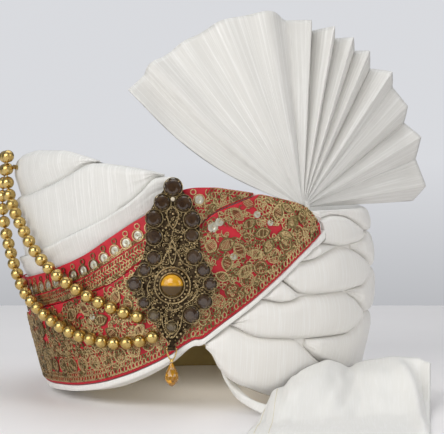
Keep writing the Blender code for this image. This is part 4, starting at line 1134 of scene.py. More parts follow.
class TURBAN_OT_lining(bpy.types.Operator):
    """Make the khaki lining band, the crown's cap and the fold at the back"""
    bl_idname = "turban.lining"
    bl_label = "Lining and crown"

    def execute(self, context):
        lining = plain_cloth("khaki_lining_cloth")
        lip = 0.5 * MM
        sewn = 8 * MM
        rows = []
        for angle in spread(-180, 176, 4):
            low = rim(angle)
            section = (
                (low + lip, 0), (low + 0.3 * lip, 0.4 * lip), (low, COLLAR_WALL / 2),
                (low + 0.3 * lip, COLLAR_WALL - 0.4 * lip), (low + lip, COLLAR_WALL),
                (COLLAR_HEIGHT, COLLAR_WALL), (COLLAR_HEIGHT, 0), (COLLAR_HEIGHT * 0.55, 0),
                (low + sewn + 1 * MM, 0.15 * MM), (low + sewn, 0.5 * MM),
                (low + sewn - 1 * MM, 0.15 * MM),
            )
            rows.append([hollow_point(angle, height, out) for height, out in section])
        collar = grid_piece("lining_band", rows, lining, tube=True, ring=True, sharp=60)
        dress(collar, "khaki_lining", "base_collar")
        self.crown()
        self.back_fold()
        return {"FINISHED"}

    @staticmethod
    def crown():
        """The domed cap inside the wraps, with pleats gathered to its middle."""
        seat = COLLAR_HEIGHT + GAP

        def ring(reach, lift):
            row = []
            for angle in spread(-180, 177, 3):
                edge = hollow_point(angle, seat, COLLAR_WALL - GAP)
                pleat = CROWN_PLEAT * math.cos(math.radians(angle * CROWN_PLEATS))
                pleat *= math.sin(math.pi * reach)
                rise = CROWN_RISE * (1 - reach ** 2)
                row.append(Vector((edge.x * reach, edge.y * reach, seat + rise + lift + pleat)))
            return row

        reaches = [0.02, 0.06, 0.12, 0.2, 0.3, 0.42, 0.55, 0.68, 0.8, 0.9, 0.97, 1.0]
        rows = [ring(reach, 0.0) for reach in reaches]
        rows += [ring(reach, CROWN_WALL) for reach in reversed(reaches)]
        piece = grid_piece("crown_silk_cap", rows, silk("crown_silk"), tube=True, sharp=60)
        dress(piece, "white_silk", "crown_cap")

    @staticmethod
    def back_fold():
        """The upright fold where both sides meet at the back."""
        height = PEAK_HEIGHT * SIDE_TOP[-1][1]
        across = ((172.3, -0.6), (175, 0.7), (180, 1.0), (185, 0.7), (187.7, -0.6))
        rise = ((0, 0.5), (0.08, 0.9), (0.5, 1.0), (0.92, 0.9), (1, 0.4))
        rows = []
        for angle in spread(across[0][0], across[-1][0], 0.8):
            bulge = smooth_value(across, angle)
            row = [wall_point(angle, t * height, BACK_FOLD_BULGE * bulge * smooth_value(rise, t)
                              + 0.5 * MM * noise.noise(Vector((angle * 0.5, t * 4, 3))))
                   for t in spread(0, 1, 0.05)]
            row.append(inner_point(angle, height))
            row.append(inner_point(angle, 0))
            rows.append(row)
        piece = grid_piece("back_fold_silk", rows, silk("back_silk"), tube=True, sharp=60)
        dress(piece, "white_silk", "back_fold")


class TURBAN_OT_wraps(bpy.types.Operator):
    """Wind the silk: folded layers on one side and padded wraps on the other"""
    bl_idname = "turban.wraps"
    bl_label = "Wound silk"

    def execute(self, context):
        left = silk("layer_silk")
        layer_a, layer_b, layer_c = seam(LAYER_A_TOP), seam(LAYER_B_TOP), seam(LAYER_C_TOP)
        for number, (node, end, low, high, section) in enumerate((
            ("wrap_low", -8, backing_top, layer_a, LAYER_SECTION),
            ("wrap_middle", -12.5, layer_a, layer_b, LAYER_SECTION),
            ("wrap_upper", -33, layer_b, layer_c, TOP_SECTION),
        )):
            wound_cloth(node, BAND_START, end, low, high, section, LAYER_STEP, 0.0, None,
                        3.0 + number, left, roll=3 * MM if node == "wrap_upper" else 0.0)
        right = silk("puff_silk")
        self.under_silk(right)
        for number, (node, start, end, low, high, crest) in enumerate((
            ("puff_lowest", 0, 68, rim, under_band(PUFF_7_TOP), 0.0),
            ("puff_low", 8, 68, seam(PUFF_6_LOW, PUFF_7_TOP), under_band(PUFF_6_TOP), 0.0),
            ("wedge_low", 17.6, 36, seam(PUFF_6_TOP), under_band(PUFF_4_LOW), 0.0),
            ("puff_middle", 25.2, 76, seam(PUFF_4_LOW, PUFF_6_TOP), under_band(PUFF_4_TOP), 0.0),
            ("wedge_high", 31.8, 52, seam(PUFF_4_TOP), under_band(PUFF_2_LOW), 0.0),
            ("puff_high", BAND_TIP + 0.3, 72, seam(PUFF_2_LOW), seam(PUFF_2_TOP), 0.0),
            ("side_wrap_1", 36, 172, side_foot, seam(PUFF_6_LOW), SIDE_CREST),
            ("side_wrap_2", 56, 172, seam(PUFF_6_TOP), seam(PUFF_4_LOW), SIDE_CREST),
            ("side_wrap_3", 60, 172, seam(PUFF_4_TOP), seam(PUFF_2_LOW), SIDE_CREST),
            ("side_wrap_4", 40, 172, over_band(PUFF_2_TOP), seam(SIDE_TOP), SIDE_CREST),
        )):
            wound_cloth(node, start, end, low, high, SIDE_SECTION if crest else PUFF_SECTION,
                        PUFF_DEPTH, crest, PUFF_ROUNDING, 20.0 + number, right,
                        roll=4 * MM if node == "side_wrap_4" else 0.0)
        return {"FINISHED"}

    @staticmethod
    def under_silk(material):
        """A layer of silk that shows in the creases between the padded wraps."""
        rows = []
        for angle in spread(-1, 170, 1.5):
            top = seam(SIDE_TOP)(angle)
            if angle <= BAND_TIP:
                top = min(top, backing_top(angle))
            low, high = rim(angle) + 2 * MM, top - 4 * MM
            rows.append([wall_point(angle, low + t * (high - low), -UNDER_SILK_DEPTH)
                         for t in spread(0, 1, 0.05)])
        piece = grid_piece("under_silk", doubled(rows, UNDER_SILK_WALL), material, tube=True)
        dress(piece, "white_silk")


class TURBAN_OT_band(bpy.types.Operator):
    """Make the white piping and both tiers of red brocade"""
    bl_idname = "turban.band"
    bl_label = "Band"

    def execute(self, context):
        rows = []
        for angle in spread(BAND_START, BAND_TIP, 1.0):
            low, top = backing_low(angle) + GAP / 2, backing_top(angle) - 2 * GAP
            ledge = min(max(brocade_low(angle) - GAP, low + piping() / 2), top - 2 * GAP)
            row = []
            for t in spread(0, 1, 0.1):
                bulge = 0.7 * PIPING_BULGE * math.sin(math.pi * (0.12 + 0.76 * t)) ** 0.6
                pucker = PIPING_PUCKER * noise.noise(Vector((angle * 1.4, t, 2)))
                row.append(wall_point(angle, low + t * (ledge - low), bulge - 0.3 * MM + pucker))
            row += [wall_point(angle, ledge + GAP, -BACKING_SINK),
                    wall_point(angle, top, -BACKING_SINK),
                    inner_point(angle, top), inner_point(angle, low)]
            rows.append(row)
        piece = grid_piece("white_piping", rows, silk("piping_silk"), tube=True, sharp=60)
        dress(piece, "white_silk", "band_backing")
        red = plain_cloth("red_brocade_cloth")
        self.strip("red_lower", "band_lower", BAND_END, brocade_low, tier_line, LOWER_FACE, red)
        self.strip("red_upper", "band_upper", UPPER_END, seam(TIER), seam(BAND_TOP), UPPER_FACE,
                   red)
        return {"FINISHED"}

    @staticmethod
    def strip(name, node, end, low, high, face, material):
        """One tier: a stiff strip with rolled edges."""
        inner = -BACKING_SINK + GAP
        rows = []
        for angle in spread(BAND_START, end, 1.0):
            bottom = low(angle) + GAP
            top = max(high(angle) - GAP, bottom + LEAST_HEIGHT)
            roll = min(BROCADE_ROLL, (top - bottom) / 4)
            section = [(bottom, inner), (bottom, face - roll),
                       (bottom + 0.3 * roll, face - 0.3 * roll)]
            section += [(bottom + roll + t * (top - bottom - 2 * roll), face)
                        for t in spread(0, 1, 0.1)]
            section += [(top - 0.3 * roll, face - 0.3 * roll), (top, face - roll), (top, inner)]
            rows.append([wall_point(angle, height, out) for height, out in section])
        dress(grid_piece(name, rows, material, tube=True, sharp=60), "red_brocade", node)


@lru_cache(maxsize=None)
def girth_table():
    """Station angles and the distances round the front of the wall that they lie at."""
    angles = spread(BAND_START, 60, 1.0)
    points = [wall_point(angle, 0.45 * PEAK_HEIGHT) for angle in angles]
    return angles, running(points)


def girth(angle):
    """Distance round the wall at a station angle."""
    angles, reach = girth_table()
    i, share = locate(angles, angle)
    return reach[i] + (reach[i + 1] - reach[i]) * share


def station(distance):
    """Station angle at a distance round the wall."""
    angles, reach = girth_table()
    i, share = locate(reach, distance)
    return angles[i] + share * (angles[i + 1] - angles[i])


class Needlework:
    """Gold thread laid on a tier of the brocade, drawn flat and bent onto the wall."""

    def __init__(self, face, low, high, end):
        self.face = face
        self.low = low
        self.high = high
        self.end = end
        self.work = Wirework(sides=4)
        self.dim = Wirework(sides=4)
        self.discs = Wirework()
        self.radius = bpy.context.scene.turban_sizes.thread / 2
        self.chance = random.Random(11)

    def inside(self, point, margin):
        """Whether a flat point lies on the tier, a margin from its edges."""
        angle = station(point[0])
        if not BAND_START + 1.5 < angle < self.end - 0.6:
            return False
        return self.low(angle) + margin < point[1] < self.high(angle) - margin

    def bend(self, point, lift):
        """A flat point bent onto the wall."""
        return wall_point(station(point[0]), point[1], self.face + lift)

    def thread(self, shape, place, turn, thick=1.0, lift=0.6, closed=False):
        """Lay a shape, in millimetres about a flat place, turned in radians."""
        c, s = math.cos(turn), math.sin(turn)
        radius = self.radius * thick
        flat = [(place[0] + (x * c - y * s) * MM, place[1] + (x * s + y * c) * MM)
                for x, y in shape]
        if not all(self.inside(point, 0.3 * MM) for point in flat):
            return
        raised = radius * lift + self.chance.uniform(0, THREAD_LIFT)
        path = [self.bend(point, raised) for point in flat]
        out = path[0].copy()
        out.z = 0
        tone = self.dim if self.chance.random() < DULL_SHARE else self.work
        tone.wire(path, radius, out.normalized(), closed)

    def edge(self, which, inset, start, end, pitch):
        """Even places along a tier's lower or upper edge, a distance in from it."""
        height = self.low if which == "low" else self.high
        sign = 1 if which == "low" else -1
        line = [Vector((girth(angle), height(angle), 0)) for angle in spread(start, end, 1.0)]
        inner = []
        for i, point in enumerate(line):
            way = heading(line, i).normalized()
            inner.append(point + Vector((-way.y, way.x, 0)) * sign * inset)
        reach = running(inner)
        made = []
        for k in range(int(reach[-1] / pitch)):
            i, share = locate(reach, (k + 0.5) * pitch)
            way = inner[i + 1] - inner[i]
            point = inner[i].lerp(inner[i + 1], share)
            made.append(((point.x, point.y), math.atan2(way.y, way.x)))
        return made

    def ring(self, place, radius, thick=1.0, count=10):
        """A round loop of thread."""
        self.loop(place, 0.0, 2 * radius, 2 * radius, thick, count)

    def loop(self, place, turn, length, width, thick=1.0, count=8):
        """An oval loop of thread."""
        shape = [(length / 2 * math.cos(t), width / 2 * math.sin(t)) for t in turns(count)]
        self.thread(shape, place, turn, thick, closed=True)

    def chain(self, which, inset, start, end, pitch, length, width, slant):
        """A row of slanting loops that follows an edge."""
        for place, turn in self.edge(which, inset, start, end, pitch):
            wobble = self.chance.uniform(-0.3, 0.3)
            self.loop(place, turn + math.radians(slant) + wobble, length, width, 0.9)

    def sequin(self, place, radius):
        """A cupped sequin with a hole, sewn down with a knot."""
        centre = self.bend(place, 0.35 * MM)
        out = Vector((centre.x, centre.y, 0)).normalized()
        r = radius * MM
        self.discs.turned(facing(centre, out), (
            (r * 0.30, -0.1 * MM), (r, -0.1 * MM), (r, 0.08 * MM), (r * 0.72, 0.28 * MM),
            (r * 0.34, 0.12 * MM), (r * 0.30, 0.0)), 14)
        self.work.ball(centre + out * 0.15 * MM, 0.42 * MM, 6, 4)

    def leaf(self, place, turn, length, width):
        """A leaf: a double outline, a vein and slanting threads between."""
        def outline(share):
            half, wide = length / 2 * share, width / 2 * share
            side = [(-half + 2 * half * t, wide * math.sin(math.pi * t) ** 0.8)
                    for t in spread(0, 1, 1 / 7)]
            return side + [(x, -y) for x, y in side[-2:0:-1]]

        self.thread(outline(1.0), place, turn, 1.25, 0.9, closed=True)
        self.thread(outline(0.78), place, turn, 0.9, 0.8, closed=True)
        count = int(length * 0.62 / 0.85)
        for k in range(count):
            x = (k + 0.5) / count * length * 0.66 - length * 0.33
            reach = width * 0.33 * math.cos(math.pi * x / length) ** 0.8
            self.thread([(x - 0.8, -reach), (x, 0), (x + 0.8, reach)], place, turn, 0.8, 1.3)

    def flower(self, place, turn, radius, petals):
        """A ring of petals about a knotted middle."""
        for around in turns(petals):
            way = turn + around
            centre = (place[0] + math.cos(way) * radius * 0.58 * MM,
                      place[1] + math.sin(way) * radius * 0.58 * MM)
            self.loop(centre, way, radius * 0.84, radius * 0.62, 0.95, 9)
            self.thread([(-radius * 0.3, 0), (radius * 0.3, 0)], centre, way, 0.8)
        self.ring(place, radius * 0.2, 1.0, 7)

    def curls(self, start, end, margin, keep, pitch, taken, red_share):
        """Fill what is left with short curled threads, leaving patches of red."""
        x, last = girth(start), girth(end)
        while x < last:
            angle = station(x)
            y = self.low(angle) + margin
            while y < self.high(angle) - keep:
                spot = (x + self.chance.uniform(-0.4, 0.4) * pitch,
                        y + self.chance.uniform(-0.4, 0.4) * pitch)
                patch = noise.noise(Vector((spot[0] * 95, spot[1] * 120, 4.0)))
                near = any(abs(spot[0] - tx) < reach and abs(spot[1] - ty) < reach
                           for tx, ty, reach in taken)
                turn = self.chance.uniform(0, math.pi)
                size = self.chance.uniform(0.75, 1.25)
                if patch > red_share and not near:
                    if self.chance.random() < 0.5:
                        self.loop(spot, turn, 3.7 * size, 2.3 * size)
                    else:
                        arc = [(2.1 * size * math.cos(a), 1.6 * size * math.sin(a))
                               for a in spread(0.3, 4.1, 0.6)]
                        self.thread(arc, spot, turn)
                y += pitch
            x += pitch

    def make(self, name, slot_name):
        """The tier's gold thread and its sequins."""
        for threads, kind, metal_name, sharp in (
            (self.work, "_thread", "gold_thread", 70),
            (self.dim, "_dull_thread", "dull_thread", 70),
            (self.discs, "_sequins", "sequin_silver", 40),
        ):
            dress(threads.make(name + kind, metal(metal_name), sharp), slot_name)


class TURBAN_OT_embroidery(bpy.types.Operator):
    """Lay the gold thread, the sequins and the leaves on the brocade"""
    bl_idname = "turban.embroidery"
    bl_label = "Embroidery"

    def execute(self, context):
        self.lower()
        self.upper()
        return {"FINISHED"}

    @staticmethod
    def lower():
        """Scallops and circled flowers along the edge, leaves and curls above them."""
        work = Needlework(LOWER_FACE, brocade_low, tier_line, BAND_END)
        start, end = BAND_START, BAND_END
        for place, turn in work.edge("low", 3.7 * MM, start, end, 2.9 * MM):
            work.loop(place, turn + 1.0, 3.9, 2.3)
        for place, turn in work.edge("low", 2.3 * MM, start, end, 2.9 * MM):
            work.thread([(-1.4, 0.0), (-0.7, 0.8), (0.0, 0.0), (0.7, -0.3), (1.4, 0.0)], place,
                        turn, 0.9)
        work.chain("low", 6.7 * MM, start, end, 2.3 * MM, 3.3, 1.9, 35)
        taken = []
        for place, turn in work.edge("low", 12.6 * MM, start, end, 11.2 * MM):
            work.ring(place, 4.5, 1.1, 16)
            work.ring(place, 3.6, 0.8, 14)
            work.flower(place, turn + 0.3, 3.3, 5)
            taken.append((place[0], place[1], 4.6 * MM))
        for place, turn in work.edge("low", 17.6 * MM, start, end, 11.2 * MM):
            side = (place[0] + 5.6 * MM * math.cos(turn), place[1] + 5.6 * MM * math.sin(turn))
            work.loop(side, turn + 0.8, 3.4, 2.0)
        work.chain("low", 19.4 * MM, start, end, 2.4 * MM, 3.4, 2.0, -38)
        for angle, height, turn, length, width in LEAVES:
            place = (girth(angle), height * MM)
            work.leaf(place, math.radians(turn), length, width)
            taken.append((place[0], place[1], (length + width) / 4.4 * MM))
        for place, turn in work.edge("low", 30 * MM, start, -76, 13 * MM):
            work.leaf(place, turn + work.chance.uniform(-0.9, 0.9), 11.0, 6.4)
            taken.append((place[0], place[1], 4.0 * MM))
        for angle, height, radius in SEQUINS:
            place = (girth(angle), height * MM)
            if work.inside(place, radius * MM):
                work.sequin(place, radius)
                taken.append((place[0], place[1], radius * MM))
        work.chain("high", 1.9 * MM, 17, end - 1, 2.4 * MM, 3.3, 2.0, 35)
        work.chain("high", 3.8 * MM, 19, end - 1, 2.4 * MM, 3.3, 2.0, -35)
        work.curls(start + 2, end - 1, 8.4 * MM, 1.0 * MM, 2.2 * MM, taken, -0.27)
        work.make("lower_tier", "red_brocade")

    @staticmethod
    def upper():
        """Rings and sequins along the top, rows of loops below them."""
        work = Needlework(UPPER_FACE, seam(TIER), seam(BAND_TOP), UPPER_END)
        start, end = BAND_START, UPPER_END
        taken = []
        for angle, height, radius in UPPER_RINGS:
            place = (girth(angle), height * MM)
            work.ring(place, radius, 1.1, 12)
            taken.append((place[0], place[1], (radius + 1.5) * MM))
            if radius > 2:
                work.sequin(place, radius * 0.85)
        for place, turn in work.edge("high", 3.7 * MM, start, -7, 9.1 * MM):
            work.ring(place, 1.6, 1.0, 9)
            work.thread([(0, -1.6), (0, -3.0)], place, turn, 0.8)
        work.chain("high", 2.0 * MM, 1.5, end, 2.5 * MM, 3.4, 2.2, 40)
        work.curls(0.8, end, 2.0 * MM, 3.0 * MM, 2.2 * MM, taken, -0.45)
        for place, turn in work.edge("high", 8.8 * MM, start, -7, 9.1 * MM):
            if work.inside(place, 3.6 * MM):
                work.ring(place, 3.4, 1.1, 14)
                work.sequin(place, 2.7)
        for place, turn in work.edge("high", 12.6 * MM, start, end, 4.55 * MM):
            arch = [(2.1 * math.cos(a), 2.3 * math.sin(a)) for a in spread(0.1, 3.04, 0.42)]
            work.thread(arch, place, turn, 1.0, 0.9)
            work.thread([(x * 0.5, y * 0.55) for x, y in arch], place, turn, 0.9)
        for row, slant in enumerate((50, -45, 60, -50, 45)):
            work.chain("high", (15.0 + 2.5 * row) * MM, start, end, 2.3 * MM, 3.6, 2.1, slant)
        work.chain("low", 2.4 * MM, start, end, 2.2 * MM, 3.2, 1.8, 25)
        work.make("upper_tier", "red_brocade")


class TURBAN_OT_fan(bpy.types.Operator):
    """Fold the pleated fan and the knot that gathers it"""
    bl_idname = "turban.fan"
    bl_label = "Pleated fan"

    def execute(self, context):
        cloth = context.scene.turban_sizes.fan_cloth
        rows = self.folded_rows()
        material = silk("fan_silk")
        tapered = doubled(rows, cloth, lambda reach: min(0.25 + reach * 2.5, 1.0))
        piece = grid_piece("fan_silk_sheet", tapered, material, tube=True)
        dress(piece, "white_silk", "fan")
        self.knot(material)
        return {"FINISHED"}

    @staticmethod
    def folded_rows():
        """Rows of points from the root to the rim, one row for each step across the folds."""
        def fold_point(fold, reach):
            lean, back = math.radians(fold[0]), math.radians(fold[1])
            way = Vector((math.sin(lean) * math.cos(back), math.sin(back),
                          math.cos(lean) * math.cos(back)))
            sag = Vector((-0.55, 0, -0.83)) * fold[2] * FAN_LENGTH * math.sin(math.pi * reach)
            low = min(max((fold[0] - LOW_FOLD_START) / LOW_FOLD_RUN, 0), 1)
            return FAN_CENTRE + way * FAN_LENGTH * reach * (1 - LOW_FOLD_LOSS * low) + sag

        def over_knot(point, reach):
            return point + Vector((0, -1, 0)) * KNOT_COVER * (1 - reach) ** 12

        reaches = [0.015 + 0.985 * t for t in spread(0, 1, 1 / 40)]
        last = len(FAN_FOLDS) - 1
        rows = []
        for k in range(last):
            soft = k < SOFT_FOLDS
            for t in spread(0, 1, 1 / 10)[:-1] if soft else CREASED_STEPS:
                row = []
                for reach in reaches:
                    before, start, end, after = (
                        fold_point(FAN_FOLDS[min(max(i, 0), last)], reach)
                        for i in (k - 1, k, k + 1, k + 2))
                    if soft:
                        point = curve_point(before, start, end, after, t)
                    else:
                        point = start.lerp(end, t)
                    place = Vector((k + t, reach * 5.0, 1.5))
                    wave = FAN_WAVE * noise.noise(place * 0.9)
                    wave += FAN_RIPPLE * noise.noise(place * 2.3)
                    belly = 0.0 if soft else FAN_BELLY * math.sin(math.pi * t)
                    lean = FAN_FOLDS[k][0] * (1 - t) + FAN_FOLDS[k + 1][0] * t
                    push = smooth_value(FAN_WAVES, lean)
                    point += Vector((0.1, -1.0, 0.2)) * (wave * reach ** 1.5 + belly * reach)
                    point += Vector((0, -1, 0)) * push * reach ** 1.2 * MM
                    point += (point - FAN_CENTRE) * max(push, -1.0) * 0.003 * reach
                    row.append(over_knot(point, reach))
                rows.append(row)
        rows.append([over_knot(fold_point(FAN_FOLDS[-1], reach), reach) for reach in reaches])
        return rows

    @staticmethod
    def knot(material):
        """The gathered knot under the fan's root."""
        low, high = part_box("fan_knot")
        radius = (high.z - low.z) / 2 * 0.92
        rows = []
        for rise in spread(-88, 88, 8):
            row = []
            for turn in spread(0, 357, 3):
                up, around = math.radians(rise), math.radians(turn)
                way = Vector((math.cos(around) * math.cos(up), math.sin(up),
                              math.sin(around) * math.cos(up)))
                fold = abs(math.sin(around * KNOT_GATHERS)) * math.cos(up) ** 0.5
                way.y *= KNOT_DEPTH
                row.append(FAN_CENTRE + way * radius * (1 - KNOT_GATHER * fold))
            rows.append(row)
        piece = grid_piece("fan_knot_silk", rows, material, tube=True)
        dress(piece, "white_silk", "fan_knot")


class TURBAN_OT_beads(bpy.types.Operator):
    """Thread the two strings of beads and hang them on their pin"""
    bl_idname = "turban.beads"
    bl_label = "Strings of beads"

    def execute(self, context):
        radius = context.scene.turban_sizes.bead / 2
        gold = metal("bead_gilt")
        hole = math.radians(13)
        inside = (radius * math.sin(hole) * 0.7, -radius * math.cos(hole) * 0.93)
        ball = [(radius * math.sin(turn), -radius * math.cos(turn))
                for turn in spread(hole, math.pi - hole, math.radians(11))]
        profile = [inside] + ball + [(inside[0], -inside[1])]
        for node, route in STRAND_ROUTES.items():
            line = [wall_point(angle, height * MM, out * MM) for angle, height, out in route]
            whole = spline(line, 2)[1]
            beads = spline(line, max(int(whole / BEAD_PITCH), 2) + 1)[0]
            work = Wirework(sides=6)
            for i, bead in enumerate(beads):
                work.turned(facing(bead, heading(beads, i).normalized()), profile, 24)
            thread = spline(line, 60)[0]
            work.wire(thread, 0.5 * MM, Vector((1, 0.2, 0.1)))
            dress(work.make(node + "_beads", gold, 50), "gold_bead", node)
        self.pin(gold)
        return {"FINISHED"}

    @staticmethod
    def pin(gold):
        """The plain bar that both strings hang on."""
        outer, inner = STRAND_ROUTES["strand_outer"][0], STRAND_ROUTES["strand_inner"][0]
        middle = (outer[0] + inner[0]) / 2
        half = math.degrees(PIN_LENGTH / 2 / OUTER_LEFT)
        height = outer[1] * MM - bpy.context.scene.turban_sizes.bead
        rows = []
        for angle in spread(middle - half, middle + half, 1.0):
            row = []
            for turn in spread(0, 330, 30):
                up, out = math.sin(math.radians(turn)), math.cos(math.radians(turn))
                row.append(wall_point(angle, height + PIN_WIDTH / 2 * (1 + up),
                                      GAP + PIN_THICKNESS / 2 * (1 + out)))
            rows.append(row)
        dress(grid_piece("strand_pin_bar", rows, gold, tube=True, sharp=60), "gold_bead",
              "strand_pin")


def brooch_axes():
    """The brooch's own axes: X across, Y up and Z outwards, with its foot at the origin."""
    turn = math.radians(BROOCH_ANGLE)
    out = Vector((math.sin(turn), -math.cos(turn), 0))
    across = Vector((math.cos(turn), math.sin(turn), 0))
    origin = wall_point(BROOCH_ANGLE, PEAK_HEIGHT * FORM[4][0], BROOCH_OUT)
    axes = Matrix((across, Vector((0, 0, 1)), out)).transposed().to_4x4()
    return Matrix.Translation((origin.x, origin.y, BROOCH_FOOT)) @ axes


def on_brooch(across, up, out):
    """A point of the brooch; across and up are shares of its height."""
    return brooch_axes() @ Vector((across * BROOCH_HEIGHT, up * BROOCH_HEIGHT, out))


def round_stone(stone, reach, turn, out):
    """A point of the brooch at a reach and a turn from the middle of a stone."""
    return on_brooch(stone[0] + reach * math.cos(turn), stone[1] + reach * math.sin(turn), out)


def clear_of(across, up, discs):
    """Whether a place on the brooch lies outside every disc."""
    return all((across - a) ** 2 + (up - u) ** 2 >= r * r for a, u, r in discs)


def seat_of(stone):
    """Matrix of a stone's seat."""
    return brooch_axes() @ Matrix.Translation((stone[0] * BROOCH_HEIGHT,
                                               stone[1] * BROOCH_HEIGHT, 0))


class TURBAN_OT_brooch(bpy.types.Operator):
    """Set the brooch: cut stones, rims, claws, balls and scrolled wires on a dark plate"""
    bl_idname = "turban.brooch"
    bl_label = "Brooch"

    def execute(self, context):
        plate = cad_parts["brooch_frame"]
        plate.data.materials.clear()
        plate.data.materials.append(metal("antique_gilt"))
        self.stones()
        self.rims()
        self.filigree()
        return {"FINISHED"}

    @staticmethod
    def cut(work, stone, height):
        """A round stone with a table, kites and girdle facets."""
        radius = stone[2] * BROOCH_HEIGHT
        base = BROOCH_PLATE + COLLET + GAP
        profile = [(radius * wide, base + height * rise) for wide, rise in CUT]
        work.turned(seat_of(stone), profile, 8, half_step=True)

    def stones(self):
        """All the stones, each group in its own glass."""
        smoke = stone_material("smoky_stone")
        dark = Wirework()
        for stone in DARK_STONES:
            self.cut(dark, stone, stone[2] * BROOCH_HEIGHT * 0.66)
        names = [f"dark_stone_{number:02d}" for number in range(1, len(DARK_STONES) + 1)]
        dress(dark.make("smoky_stones", smoke, 5, True), "smoky_glass", *names)
        clear = stone_material("clear_stone_glass")
        cream = stone_material("cream_stone_glass")
        for node, stone, height, glass, slot in (
            ("clear_stone", CLEAR_STONE, 2.4, clear, "clear_glass"),
            ("pear_stone", PEAR_STONE, 2.2, clear, "clear_glass"),
            ("cream_crystal", CREAM_CRYSTAL, 1.6, cream, "cream_glass"),
        ):
            work = Wirework()
            self.cut(work, stone, height * MM)
            dress(work.make(node + "_cut", glass, 5, True), slot, node)
        self.cabochon()

    @staticmethod
    def cabochon():
        """The domed amber stone, with painted shade: its lower half is painted dark and its upper
        half amber, as light from above would fall.
        """
        colours = bpy.context.scene.turban_colours
        material, tree, shader = new_material("amber_cabochon", 0.06, ior=1.50)
        place = join(tree, "TexCoord").outputs["Object"]
        height = join(tree, "SeparateXYZ", {"Vector": place}).outputs["Z"]
        # Painted shade: below the stone's middle the colour turns dark, above it stays amber
        middle = HAT.z + BROOCH_FOOT + CENTRE_STONE[1] * BROOCH_HEIGHT
        share = join(tree, "MapRange", {"Value": height, "From Min": middle - 0.4 * MM,
                                        "From Max": middle + 0.6 * MM}).outputs["Result"]
        cloud = place_group(tree, "Tarnish", tarnish_group, place, Spots=180.0)
        bright = blend_colours(tree, cloud.outputs["Mask"], rgba(colours.amber),
                               rgba(colours.amber, 0.78))
        tint = blend_colours(tree, share, rgba(colours.stone_painted_shade), bright)
        tree.links.new(tint, shader.inputs["Base Color"])
        radius = CENTRE_STONE[2] * BROOCH_HEIGHT
        base = BROOCH_PLATE + COLLET + GAP
        profile = [(radius * 0.94, base)]
        profile += [(radius * math.cos(turn), base + DOME_GIRDLE + DOME_RISE * math.sin(turn))
                    for turn in spread(0, math.radians(86), math.radians(9))]
        work = Wirework()
        work.turned(seat_of(CENTRE_STONE), profile, 40)
        dress(work.make("centre_stone_dome", material, 50), "amber_glass", "centre_stone")

    @staticmethod
    def rims():
        """Thin rims and claws round the stones, and the rope round the centre stone."""
        work = Wirework(sides=6)
        out = brooch_axes().to_3x3() @ Vector((0, 0, 1))
        top = BROOCH_PLATE + COLLET
        for stone in DARK_STONES + (CLEAR_STONE, PEAR_STONE):
            radius = stone[2] + RIM_BEYOND
            work.wire([round_stone(stone, radius, turn, top + 0.25 * MM) for turn in turns(28)],
                      RIM_WIRE, out, closed=True)
            for turn in turns(CLAWS, 0.5):
                foot = round_stone(stone, radius, turn, top)
                tip = round_stone(stone, radius - CLAW_INWARDS, turn,
                                  top + stone[2] * BROOCH_HEIGHT * 0.42)
                work.wire([foot, foot.lerp(tip, 0.6) + out * 0.3 * MM, tip], CLAW_WIRE,
                          Vector((0.3, 0.2, 1)))
        radius = CENTRE_STONE[2]
        for reach, height in ((radius + 0.008, 0.5 * MM), (BEZEL, -0.6 * MM)):
            work.wire([round_stone(CENTRE_STONE, reach, turn, top + height) for turn in turns(48)],
                      BEZEL_WIRE, out, closed=True)
        rope = (radius + BEZEL) / 2 + 0.004
        for turn in turns(ROPE_BALLS):
            work.ball(round_stone(CENTRE_STONE, rope, turn, top + 0.15 * MM), ROPE_BALL, 8, 5)
        dress(work.make("brooch_rims", metal("bright_gilt"), 50), "antique_gold")

    @staticmethod
    def filigree():
        """Balls and scrolls that fill the plate between the stones."""
        out = brooch_axes().to_3x3() @ Vector((0, 0, 1))
        wires = Wirework(sides=6)
        for scroll in SCROLLS:
            route = [on_brooch(across, up, BROOCH_PLATE + 1.9 * MM) for across, up in scroll]
            wires.wire(spline(route, 22)[0], SCROLL_WIRE, out)
        chance = random.Random(5)
        stones = DARK_STONES + (CLEAR_STONE, PEAR_STONE, CREAM_CRYSTAL)
        seats = [(across, up, radius + RIM_SPACE) for across, up, radius in stones]
        seats.append((CENTRE_STONE[0], CENTRE_STONE[1], BEZEL + 0.004))
        placed = []
        for across, up in BRIGHT_BALLS:
            wires.ball(on_brooch(across, up, BROOCH_PLATE + 2.2 * MM), 0.80 * MM, 10, 6)
            placed.append((across, up, HAND_BALL_ROOM))
        tries = 0
        while len(placed) < BALLS and tries < BALL_TRIES:
            tries += 1
            up = chance.uniform(0.03, 0.97)
            across = chance.uniform(-0.27, 0.27)
            if abs(across) > smooth_value(PLATE_OUTLINE, up) - PLATE_MARGIN:
                continue
            if not (clear_of(across, up, seats) and clear_of(across, up, placed)):
                continue
            size = chance.uniform(0.40, 0.80)
            placed.append((across, up, BALL_ROOM))
            wires.ball(on_brooch(across, up, BROOCH_PLATE + chance.uniform(0.6, 1.7) * MM),
                       size * MM, 8, 5)
            if chance.random() < 0.45:
                turn = chance.uniform(0, 6.28)
                size = chance.uniform(0.009, 0.016)
                arc = [round_stone((across, up), size, turn + t, BROOCH_PLATE + 1.3 * MM)
                       for t in spread(0, 3.6, 0.45)]
                wires.wire(arc, CURL_WIRE, out)
        dress(wires.make("brooch_filigree", metal("bright_gilt"), 50), "antique_gold")


